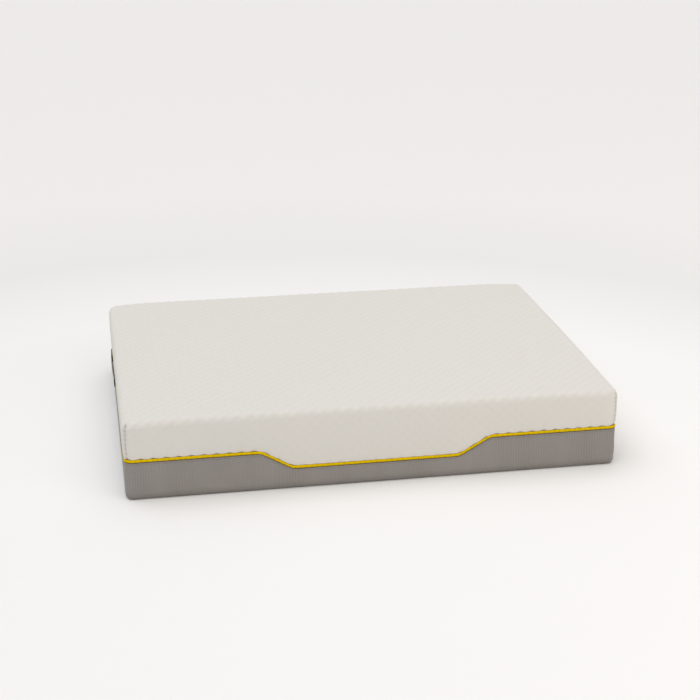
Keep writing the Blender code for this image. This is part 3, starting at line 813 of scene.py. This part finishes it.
def corner_slump(points):
    """How far the soft upper corners have sunk, most of all at the ends of the long way's edges."""
    from_side, from_end = HALF_X - np.abs(points[:, 0]), HALF_Y - np.abs(points[:, 1])
    high = np.clip((points[:, 2] - SLUMP_FROM) / (HEIGHT - SLUMP_FROM), 0, 1)
    return SLUMP * high * bell(from_side, SLUMP_WIDE) * bell(from_end, SLUMP_LONG)


def knit_relief(mesh):
    """Sinks the dents, ridges the upper edge, and gathers the cloth at the piping and the corner darts; it
    also stores how much painted shade each fold gets.
    """
    points, normals = points_of(mesh), normals_of(mesh)
    x, y, _ = values_of(mesh, "cloth").T
    above_seam, from_dart, down = values_of(mesh, "border").T

    upward = np.clip(normals[:, 2], 0, 1)
    near_crest = bell(HALF_Y - np.abs(points[:, 1]), CREST_REACH)
    near_crest += CREST_SIDES * bell(HALF_X - np.abs(points[:, 0]), CREST_REACH)
    near_crest *= bell(HEIGHT - points[:, 2], CREST_DROP)
    slant = np.cos((x / DENT_X - y / DENT_Y) * 2 * math.pi)
    beads = np.cos((2 * x / DENT_X - y / DENT_Y) * 2 * math.pi)
    lift = (RIDGES_SIDE - RIDGES_TOP * upward + RIDGES_CREST * near_crest) * slant
    lift -= BEADS * upward * beads + DENT_DEPTH * dent_depth(x, y, DENT_LONG, DENT_WIDE)

    # The gathers are weaker along the dip in the front
    along = np.where(np.abs(normals[:, 0]) > np.abs(normals[:, 1]), y, x)
    level = np.clip((piping_height(points[:, 0], points[:, 1]) - DIP_Z) / (PIPING_Z - DIP_Z), 0, 1)
    gathers = (0.5 + 0.5 * np.cos(along * (2 * math.pi / DENT_X))) ** 2 * (0.3 + 0.7 * level)
    lift -= GATHER_DEPTH * np.exp(-above_seam / GATHER_REACH) * gathers

    below_crest = np.clip((down - 0.006) / 0.030, 0, 1)
    pucker = np.exp(-from_dart / PUCKER_REACH) * np.cos(down * (2 * math.pi / PUCKER_PITCH)) * below_crest
    lift += PUCKER_HEIGHT * pucker - GROOVE_DEPTH * bell(from_dart, GROOVE_WIDTH) * below_crest
    lift += WANDER * smooth_noise(points, WANDER_SIZE, 3)

    points = points + normals * lift[:, None]
    points[:, 2] += GATHER_RISE * np.exp(-above_seam / GATHER_LIP) * gathers - corner_slump(points)
    set_points(mesh, points)
    # Painted shade in the creases by the corner darts and in the tucks of the gathers above the piping
    crease_shade = bell(from_dart, 0.0034) * below_crest * np.clip(0.6 - pucker / 1.5, 0, 1)
    tuck_shade = 0.4 * np.exp(-above_seam / 0.0035) * gathers
    cloth = values_of(mesh, "cloth")
    cloth[:, 2] = np.clip(0.55 * crease_shade + tuck_shade, 0, 1)  # how much painted shade the folds get
    set_values(mesh, "cloth", cloth)


def knit_cover(finish):
    cap = knit_cap()
    cover = cap.object("knit_cover", finish)
    dents = dent_depth(cap.cloth[:, 0], cap.cloth[:, 1], PINNED_SIZE, PINNED_SIZE) > PINNED_FROM
    darts = (cap.border[:, 1] < 1e-6) & (cap.border[:, 0] < 0.9)
    inflate(cover, dents | darts | (cap.border[:, 0] < 1e-6), PUFF)
    subdivide(cover)
    knit_relief(cover.data)
    belongs(cover, "top_cover", "knit_cover", "cover_panel")
    return cover


def dart_stitches(cover, side_x, side_y, corner, finish):
    """The thread that closes one corner of the white cover."""
    points = points_of(cover.data)
    above_seam, from_dart, down = values_of(cover.data, "border").T
    here = (from_dart < 1e-5) & (above_seam < 0.9) & (down > 0.012) & (above_seam > 0.004)
    here &= (np.sign(points[:, 0]) == side_x) & (np.sign(points[:, 1]) == side_y)
    order = np.argsort(down[here])
    away = np.broadcast_to(np.array([side_x, side_y, 0.0]) / math.sqrt(2), (len(order), 3))
    line = points[here][order] + away * DART_STITCH[2]
    made = stitched_line(f"dart_stitches_{corner}", line, away, DART_STITCH, finish)
    return belongs(made, "top_cover", "seam_thread", f"cover_seam_{corner}")


def fibre_wadding(finish):
    """The loose fibre inside the cover: open underneath, where the foam goes."""
    underside = CORE_TOP + GAP
    inset = KNIT + GAP
    wall = (0.0, 0.12, 0.35, 0.6, 0.85, 1.0)
    crest = crest_stations(inset, 4)[::-1]
    outs = [WADDING_IN] * len(wall) + [SKIRT_PINCH - inset] + list(crest[:, 0])

    def heights(x, y, k):
        low = piping_height(x, y) + WADDING_RISE
        if k < len(wall):
            return underside + (low - underside) * wall[k]
        if k == len(wall):
            return low
        return np.full_like(x, crest[k - len(wall) - 1, 1])

    rings = [(out, knit_radius(out) + 0.010) for out in outs]
    lines_x = grid_lines(HALF_X + WADDING_IN, rings[0][1], WADDING_CELL)
    lines_y = grid_lines(HALF_Y + WADDING_IN, rings[0][1], WADDING_CELL)
    cap = Cap(HALF_X, HALF_Y, lines_x, lines_y, rings, heights, lambda x, y: np.full_like(x, underside))
    cap.faces = cap.faces[:, ::-1]
    made = cap.object("fibre_wadding", finish)
    subdivide(made)
    points = points_of(made.data)
    loft = 0.5 + 0.5 * np.clip(smooth_noise(points, 0.045, 5), -1, 1)
    edge = np.minimum(HALF_X - np.abs(points[:, 0]), HALF_Y - np.abs(points[:, 1]))
    outside = (edge < -WADDING_IN - 0.001) | (points[:, 2] > CORE_TOP + 0.003)
    slump = corner_slump(points) * outside
    points = points - normals_of(made.data) * (0.0014 * loft)[:, None]
    points[:, 2] -= slump
    set_points(made.data, points)
    belongs(made, "top_cover", "wadding", "cover_wadding")
    return made


def piping_cord(outline, finish):
    """The yellow cord: gathered a little wherever it is caught by its stitches."""
    centre = piping_height(outline.x, outline.y)
    gathered = 1 - 0.045 * np.clip(np.cos(outline.along * (2 * math.pi / GATHER_PITCH)), 0, 1)
    wander = 0.0003 * smooth_noise(outline.points(0.0, centre), 0.07, 9)
    section = []
    for turn in np.linspace(0, 2 * math.pi, 14, endpoint=False):
        out = PIPING_OUT + wander + PIPING_DEPTH * gathered * math.cos(turn)
        section.append((out, centre + wander - PIPING_R * gathered * math.sin(turn)))
    made = sweep("piping_cord", outline, section, finish)
    return belongs(made, "top_cover", "piping_cord", "piping")


# ---------------------------------------------------------------- zip
def zip_tape(name, outline, low, high, body, node, finish):
    """One half of the woven tape, with a slight wave."""
    zip_z = piping_height(outline.x, outline.y) - ZIP_BELOW
    wave = 0.00018 * smooth_noise(outline.points(0.0, zip_z), 0.09, 11)
    half = TAPE / 2
    rows = np.linspace(high, low, 5)
    front = [(TAPE_IN + half + wave, zip_z + z) for z in rows]
    back = [(TAPE_IN - half + wave, zip_z + z) for z in rows[::-1]]
    made = sweep(name, outline, front + back, finish)
    belongs(made, body, "zip_tape", node)
    return made


def zip_teeth(name, outline, side, body, node, finish):
    """One half of the coil: a ridge for each turn of the nylon, along its whole run."""
    first = -ZIP_START_X + ZIP_END_GAP
    turns = int((outline.length - 2 * ZIP_END_GAP) / COIL_PITCH)
    phases = np.array([0.0, 0.2, 0.6, 0.8]) * COIL_PITCH
    swell = np.tile([0.0, 1.0, 1.0, 0.0], turns)
    along = (np.arange(turns)[:, None] * COIL_PITCH + phases).ravel()
    wanted = (first + along) % outline.length
    columns = (outline.x, outline.y, outline.nx, outline.ny)
    x, y, nx, ny = (np.interp(wanted, outline.along, column) for column in columns)
    zip_z = piping_height(x, y) - ZIP_BELOW
    near = side * (COIL_SLIT / 2 + 0.00035 - 0.00060 * swell)
    far = side * (COIL_SLIT / 2 + COIL_HEIGHT - 0.00015 + 0.00015 * swell)
    thick = COIL / 2 * (0.62 + 0.38 * swell)
    upper, lower = (far, near) if side > 0 else (near, far)
    corners = ((-1, upper), (1, upper), (1, lower), (-1, lower))
    rings = []
    for way, z in corners:
        out = TAPE_IN + way * thick
        rings.append(np.stack([x + nx * out, y + ny * out, zip_z + z], -1))
    rings = np.stack(rings, 1)
    faces = grid_faces(len(along), 4, around=True)
    ends = [np.arange(4), np.arange(4)[::-1] + 4 * (len(along) - 1)]
    cloth = np.stack([np.broadcast_to(along[:, None], rings.shape[:2]), rings[..., 2], rings[..., 2]], -1)
    made = add_mesh(name, rings.reshape(-1, 3), faces, finish, cloth.reshape(-1, 3), ends)
    made.data.set_sharp_from_angle(angle=math.radians(50))
    return belongs(made, body, "zip_coil", node)


# ---------------------------------------------------------------- lower cover
def hem_round(half_x, half_z, steps=4):
    """(out, height) round the border's lower edge, a quarter ellipse, from the upright wall down and in."""
    turns = np.linspace(0, -math.pi / 2, steps + 1)
    return list(zip(half_x * np.cos(turns) - HEM_ROUND_X, half_z * np.sin(turns) + HEM_ROUND_Z))


# The border's bound top edge: how far out it is, and how far below the rim
BOUND_EDGE = ((-0.0022, -0.0003), (-0.0006, 0.0004), (0.0003, 0.0022), (-0.0002, 0.0050))


def border_cloth(outline, finish):
    """The grey mesh wall, with a soft swell, a bound top edge and a hem under the mattress."""
    rim = piping_height(outline.x, outline.y) - PIPING_R - SLIT
    drop = HEM_ROUND_Z - HEM_LIFT
    hem = hem_round(HEM_ROUND_X, drop) + [(-HEM_WRAP, HEM_LIFT)]
    inner_round = hem_round(HEM_ROUND_X - BORDER_WALL, drop - HEM_THICK)
    inside = [(-HEM_WRAP, HEM_LIFT + HEM_THICK)] + inner_round[::-1]
    outer = [(out, rim - below) for out, below in BOUND_EDGE]
    bound = BOUND_EDGE[-1][1]
    for share in np.linspace(0.08, 0.94, 9):
        z = (rim - bound) + (HEM_ROUND_Z - rim + bound) * share
        bumps = 0.0004 * smooth_noise(outline.points(0.0, z), 0.11, 13)
        swell = np.clip((SWELL_TOP - z) / (SWELL_TOP - HEM_ROUND_Z), 0, 1)
        outer.append((BORDER_SWELL * np.sin(math.pi * swell) + bumps, z))
    section = outer + hem + inside
    section += [(-BORDER_WALL, rim * 0.6), (-BORDER_WALL, rim - 0.001)]
    made = sweep("border_cloth", outline, section, finish)
    cloth = values_of(made.data, "cloth").reshape(len(outline.x), -1, 3)
    cloth[..., 1] -= cloth[:, len(outer) + len(hem) - 1, 1][:, None]
    set_values(made.data, "cloth", cloth)
    belongs(made, "lower_cover", "border_mesh", "border_band")
    return made


def border_stitching(outline, finish):
    """The row that holds the zip tape behind the border's top edge."""
    rim = piping_height(outline.x, outline.y) - PIPING_R - SLIT
    line = outline.points(0.0005, rim - 0.0062)
    ups = np.stack([outline.nx, outline.ny, 0 * outline.nx], -1)
    made = stitched_line("border_stitching", line, ups, BORDER_STITCH, finish)
    return belongs(made, "lower_cover", "seam_thread")


# The underside's edge: how far in from the hem, and how high
UNDERSIDE_EDGE = ((-0.0015, 0.0), (-0.0004, 0.0004), (0.0, 0.0012), (0.0, 0.0022), (-0.0015, 0.0030))


def underside_cloth(finish):
    edge = -HEM_WRAP - GAP
    rings = [(edge + out, max(CORNER_R + edge + out, 0.010)) for out, _ in UNDERSIDE_EDGE]
    lines_x = grid_lines(HALF_X + rings[0][0], rings[0][1], 0.040)
    lines_y = grid_lines(HALF_Y + rings[0][0], rings[0][1], 0.040)

    def heights(x, y, k):
        return np.full_like(x, UNDERSIDE_EDGE[k][1])

    cap = Cap(HALF_X, HALF_Y, lines_x, lines_y, rings, heights, lambda x, y: np.zeros_like(x))
    made = closed_cap(cap, "underside_cloth", finish, flipped=True)
    belongs(made, "lower_cover", "underside", "base_panel")
    return made


def closed_cap(cap, name, finish, flipped=False):
    """A cap whose open side is closed flat, with its sides joined at the corners."""
    faces = cap.faces[:, ::-1] if flipped else cap.faces
    loop = cap.rim_loop()
    loop = loop if flipped else loop[::-1]
    made = add_mesh(name, cap.points, faces, finish, cap.cloth, [loop])
    made.modifiers.new("join", "WELD").merge_threshold = 0.0001
    apply_modifiers(made)
    made.data.set_sharp_from_angle(angle=math.radians(40))
    return made


# ---------------------------------------------------------------- foam core
EASE = 0.0035  # how far the foam's cut edges are rounded
FOAM_CELL, COMFORT_CELL = 0.060, 0.040
WALL = 0.0004  # the slope of a cut's wall, from its top to its bottom


def foam_block(name, node, bottom, low_inset, lines_x, lines_y, top, finish):
    """A cut block of foam with eased edges. top(x, y) is its upper surface."""
    radius = CORNER_R - (HALF_X - CORE_HALF_X)
    stations = [(-EASE, 0.0), (-0.3 * EASE, -0.3 * EASE), (0.0, -EASE)]
    feet = [(0.0, max(low_inset, EASE)), (-0.3 * low_inset, 0.3 * low_inset), (-low_inset, 0.0)]
    rings = [(out, radius + out) for out, _ in stations + feet]

    def heights(x, y, k):
        if k < len(stations):
            return top(x, y) + stations[k][1]
        return np.full_like(x, bottom + feet[k - len(stations)][1])

    cap = Cap(CORE_HALF_X, CORE_HALF_Y, lines_x, lines_y, rings, heights, top)
    made = closed_cap(cap, name, finish)
    belongs(made, "foam_core", node, node)
    return made


def block_lines(half, cell, extra=()):
    """Grid lines over a foam block, with extra ones where its top steps."""
    radius = CORNER_R - (HALF_X - CORE_HALF_X) - EASE
    plain = grid_lines(half - EASE, radius, cell)
    extra = np.asarray(extra, float)
    if len(extra) == 0:
        return plain
    clear = np.abs(plain[:, None] - extra[None]).min(axis=1) > 0.010
    corner = np.abs(plain) >= half - EASE - radius - 1e-9
    return np.sort(np.concatenate([plain[clear | corner], extra]))


def cut_lines(centres, half, offsets):
    """The extra grid lines on both sides of each cut."""
    return [c + side * (half + d) for c in centres for side in (-1, 1) for d in offsets]


def nearest(places, centres):
    """How far each place is from the nearest cut."""
    return np.abs(places[..., None] - np.asarray(centres)).min(axis=-1)


def foam_base(finish):
    """Support foam with zone channels across its top."""
    upper = TRANSITION_BOTTOM - GAP
    half = CHANNEL_WIDTH / 2

    def top(x, y):
        return np.where(nearest(x, CHANNELS_X) < half - WALL / 2, upper - CHANNEL_DEPTH, upper)

    lines_x = block_lines(CORE_HALF_X, FOAM_CELL, cut_lines(CHANNELS_X, half, (-WALL, 0.0, 0.004)))
    lines_y = block_lines(CORE_HALF_Y, FOAM_CELL)
    return foam_block("foam_base", "core_base", CORE_BOTTOM, 0.010, lines_x, lines_y, top, finish)


def foam_transition(finish):
    lines_x = block_lines(CORE_HALF_X, FOAM_CELL)
    lines_y = block_lines(CORE_HALF_Y, FOAM_CELL)

    def top(x, y):
        return np.full_like(x, COMFORT_BOTTOM - GAP)

    node = "core_transition"
    return foam_block("foam_transition", node, TRANSITION_BOTTOM, EASE, lines_x, lines_y, top, finish)


def foam_comfort(finish):
    """Pressure-relief foam: its top is cut into blocks with rounded edges."""
    half = CASTELLATION_SLOT / 2
    soft = 0.006  # how far the blocks' tops round off
    xs = 2 * CORE_HALF_X * (np.arange(1, CASTELLATIONS_X) / CASTELLATIONS_X - 0.5)
    ys = 2 * CORE_HALF_Y * (np.arange(1, CASTELLATIONS_Y) / CASTELLATIONS_Y - 0.5)
    offsets = (-WALL, 0.0, 0.0012, 0.003, soft)

    def top(x, y):
        reach = np.minimum(nearest(x, xs), nearest(y, ys)) - half
        rounding = 0.0042 * (1 - np.clip(reach / soft, 0, 1)) ** 2
        return np.where(reach < -WALL / 2, CORE_TOP - CASTELLATION_DEPTH, CORE_TOP - rounding)

    lines_x = block_lines(CORE_HALF_X, COMFORT_CELL, cut_lines(xs, half, offsets))
    lines_y = block_lines(CORE_HALF_Y, COMFORT_CELL, cut_lines(ys, half, offsets))
    return foam_block("foam_comfort", "core_comfort", COMFORT_BOTTOM, EASE, lines_x, lines_y, top, finish)


# ---------------------------------------------------------------- handles
ENDS_THICK = 2 * WEBBING  # the webbing is doubled where it is sewn down
END_STOPS, GRIP_STOPS = 41, 49
STITCH_INSET = 0.0055
PRESSED, PRESSED_AT = 0.00035, 0.12  # how deep stitches press the ends in, and at what share of the length


def webbing_section(thick, half_width):
    """Points round the section of flat webbing with rounded edges, as (out, z) rows."""
    bead = thick / 2
    reach = half_width - 2.4 * bead
    turns = np.radians([50, 10])
    rounded = [(bead + bead * math.cos(t), half_width - bead + bead * math.sin(t)) for t in turns]
    section = [(bead, half_width), *rounded]
    section += [(thick, z) for z in np.linspace(reach, -reach, 9)]
    section += [(out, -z) for out, z in rounded[::-1]]
    section += [(bead, -half_width)]
    section += [(thick - out, -z) for out, z in rounded]
    section += [(0.0, -half_width / 2), (0.0, half_width / 2)]
    section += [(thick - out, z) for out, z in rounded[::-1]]
    return np.array(section)


def webbing(name, side, stops, bows, half_width, middle_z, thick, finish):
    """A length of webbing along Y on one side. bows is how far it stands off the border at each stop."""
    out, z = webbing_section(thick, half_width).T
    x = side * (HALF_X + np.broadcast_to(bows, stops.shape)[:, None] + out)
    y = np.broadcast_to(stops[:, None], x.shape)
    z = np.broadcast_to(middle_z + z, x.shape)
    faces = grid_faces(*x.shape, around=True)
    caps = [np.arange(x.shape[1])[::-1], np.arange(x.shape[1]) + x.size - x.shape[1]]
    if side > 0:
        faces = faces[:, ::-1]
        caps = [cap[::-1] for cap in caps]
    points, cloth = np.stack([x, y, z], -1), np.stack([y, z, x], -1)
    made = add_mesh(name, points.reshape(-1, 3), faces, finish, cloth.reshape(-1, 3), caps)
    made.data.set_sharp_from_angle(angle=math.radians(60))
    return made


def box_stitching(name, side, low_y, high_y, low_z, high_z, out, finish):
    """A sewn box with a cross in it."""
    pitch, stitch_length, radius = BOX_STITCH
    corners = [(low_y, low_z), (high_y, low_z), (high_y, high_z), (low_y, high_z)]
    runs = list(zip(corners, corners[1:] + corners[:1]))
    runs += [(corners[0], corners[2]), (corners[1], corners[3])]
    up = np.array([side, 0.0, 0.0])
    places, ways = [], []
    for start, end in runs:
        start = np.array([side * (HALF_X + out), *start])
        end = np.array([side * (HALF_X + out), *end])
        length = np.linalg.norm(end - start)
        count = max(2, round(length / pitch))
        shares = (np.arange(count) + 0.5) / count
        places.append(start + (end - start) * shares[:, None])
        ways.append(np.broadcast_to((end - start) / length, (count, 3)))
    places, ways = np.vstack(places), np.vstack(ways)
    return stitches(name, places, ways, np.broadcast_to(up, places.shape), stitch_length, radius, finish)


def sewn_end(side, side_name, end_name, half_width, middle_z, finish, thread):
    """The doubled webbing at one end of a handle, sewn to the border with a crossed box."""
    patch = f"handle_{side_name}_patch_{end_name}"
    low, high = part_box(patch)
    stops = np.linspace(low.y, high.y, END_STOPS)
    along = np.abs(stops - low.y) / (high.y - low.y)
    bows = GAP - PRESSED * bell(np.minimum(along, 1 - along) - PRESSED_AT, 0.05)
    name = f"handle_{side_name}_end_{end_name}"
    sewn = webbing(name, side, stops, bows, half_width, middle_z, ENDS_THICK, finish)
    belongs(sewn, "lower_cover", "webbing", patch)
    box = [low.y + STITCH_INSET, high.y - STITCH_INSET]
    box += [middle_z - half_width + STITCH_INSET, middle_z + half_width - STITCH_INSET]
    name = f"handle_{side_name}_stitching_{end_name}"
    belongs(box_stitching(name, side, *box, ENDS_THICK + GAP, thread), "lower_cover", "seam_thread")
    return sewn


def handle(side, side_name, finish, thread):
    """Both sewn ends, their stitching, and the loose webbing in two halves."""
    strap = f"handle_{side_name}_strap"
    low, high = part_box(strap)
    middle_y, middle_z = (low.y + high.y) / 2, (low.z + high.z) / 2
    half_width = (high.z - low.z) / 2
    finger_gap = max(abs(low.x), abs(high.x)) - HALF_X - WEBBING
    face = side * HALF_X
    for end, end_name, fixed in ((-1, "front", low.y), (1, "back", high.y)):
        sewn = sewn_end(side, side_name, end_name, half_width, middle_z, finish, thread)
        stops = np.linspace(fixed, middle_y, GRIP_STOPS)[::-end]
        share = np.minimum((high.y - stops) / HANDLE_RAMP_BACK, (stops - low.y) / HANDLE_RAMP_FRONT)
        share = np.clip(share, 0, 1)
        bows = GAP + (finger_gap - GAP) * (3 * share**2 - 2 * share**3)
        name = f"handle_{side_name}_grip_{end_name}"
        half = webbing(name, side, stops, bows, half_width, middle_z, WEBBING, finish)
        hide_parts(strap)
        start, end_place = (face, fixed, middle_z), (face, middle_y, middle_z)
        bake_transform(half)
        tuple(start)
        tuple(end_place)


# ---------------------------------------------------------------- studio
CAMERA_PLACE = (-1.0451, -5.9495, 2.5078)
CAMERA_YAW = math.radians(10.16)  # to the right of straight ahead
CAMERA_PITCH = math.radians(20.22)  # down
CAMERA_LENS = 79.6


def add_camera():
    data = bpy.data.cameras.new("camera")
    data.lens = CAMERA_LENS
    data.sensor_width = 36.0
    camera = bpy.data.objects.new("camera", data)
    level = math.cos(CAMERA_PITCH)
    ahead = Vector((math.sin(CAMERA_YAW) * level, math.cos(CAMERA_YAW) * level, -math.sin(CAMERA_PITCH)))
    camera.location = CAMERA_PLACE
    camera.rotation_mode = "QUATERNION"
    camera.rotation_quaternion = ahead.to_track_quat("-Z", "Y")
    bpy.context.scene.collection.objects.link(camera)
    bpy.context.scene.camera = camera


# Wide, soft lights, even over the whole floor: the way that each shines, its strength, width and colour
SKIES = {
    "left_sky": ((0.34, -0.02, -0.94), 0.905, 60, (0.894, 0.943, 1.0)),
    "front_sky": ((0.0, 0.55, -0.83), 0.85, 80, (1.0, 0.975, 0.945)),
    "back_sky": ((0.0, -0.55, -0.83), 0.72, 80, (0.96, 0.975, 1.0)),
}
FILL_PLACE, FILL_SIZE, FILL_POWER, FILL_COLOUR = (4.5, -4.5, 3.2), 3.0, 52.0, (1.0, 0.87, 0.70)


def add_light(kind, name, towards, power, colour):
    """A light that shines one way."""
    data = bpy.data.lights.new(name, kind)
    data.energy = power
    data.color = colour
    light = bpy.data.objects.new(name, data)
    light.rotation_mode = "QUATERNION"
    light.rotation_quaternion = Vector(towards).to_track_quat("-Z", "Y")
    bpy.context.scene.collection.objects.link(light)
    return light


def add_studio():
    world = bpy.data.worlds.new("studio")
    world.use_nodes = True
    sky = world.node_tree.nodes["Background"]
    sky.inputs["Color"].default_value = (1.0, 0.93, 0.87, 1.0)
    sky.inputs["Strength"].default_value = 0.30
    bpy.context.scene.world = world
    bpy.context.scene.view_settings.view_transform = "Standard"
    for name, (towards, strength, width, colour) in SKIES.items():
        add_light("SUN", name, towards, strength, colour).data.angle = math.radians(width)
    fill = add_light("AREA", "warm_fill", -Vector(FILL_PLACE), FILL_POWER, FILL_COLOUR)
    fill.location = FILL_PLACE
    fill.data.size = FILL_SIZE
    reach = 40.0
    corners = [(-reach, -reach), (reach, -reach), (reach, reach), (-reach, reach)]
    floor = add_mesh("floor", [(x, y, -0.0005) for x, y in corners], [(0, 1, 2, 3)], floor_finish())


# ---------------------------------------------------------------- the object
OUTLINE_CELL = 0.0055
TAPE_CLEAR = 0.0003  # between the tape's edge and the coil


def build():
    outline = Outline(HALF_X, HALF_Y, CORNER_R, OUTLINE_CELL)
    white_thread = thread_finish("white_thread", (0.62, 0.61, 0.57))
    grey_thread = thread_finish("grey_thread", (0.20, 0.18, 0.165))
    dark_thread = thread_finish("dark_thread", (0.075, 0.073, 0.076))

    cover = knit_cover(knit_finish())
    for side_x, x_name in ((-1, "left"), (1, "right")):
        for side_y, y_name in ((-1, "front"), (1, "back")):
            dart_stitches(cover, side_x, side_y, f"{y_name}_{x_name}", white_thread)
    fibre_wadding(wadding_finish())
    piping_cord(outline, piping_finish())

    tape = tape_finish()
    coil = coil_finish()
    clear = COIL_SLIT / 2 + COIL_HEIGHT + TAPE_CLEAR
    zip_tape("zip_cloth_upper", outline, clear, clear + TAPE_HEIGHT, "top_cover", "zip_tape_upper", tape)
    zip_tape("zip_cloth_lower", outline, -clear - TAPE_HEIGHT, -clear, "lower_cover", "zip_tape_lower", tape)
    zip_teeth("zip_teeth_upper", outline, 1, "top_cover", "zip_coil_upper", coil)
    zip_teeth("zip_teeth_lower", outline, -1, "lower_cover", "zip_coil_lower", coil)
    metal = metal_finish()
    for node in ("zip_slider", "zip_pull", "zip_stop_start", "zip_stop_end"):
        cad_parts[node].material_slots[0].material = metal

    border_cloth(outline, mesh_finish())
    border_stitching(outline, grey_thread)
    underside_cloth(underside_finish())

    foam_base(foam_finish("support_foam", (0.50, 0.52, 0.55), 0.0016))
    foam_transition(foam_finish("transition_foam", (0.78, 0.75, 0.64), 0.0012))
    foam_comfort(foam_finish("comfort_foam", (0.36, 0.55, 0.58), 0.0011))

    straps = webbing_finish()
    handle(-1, "left", straps, dark_thread)
    handle(1, "right", straps, dark_thread)


add_camera()
add_studio()
build()
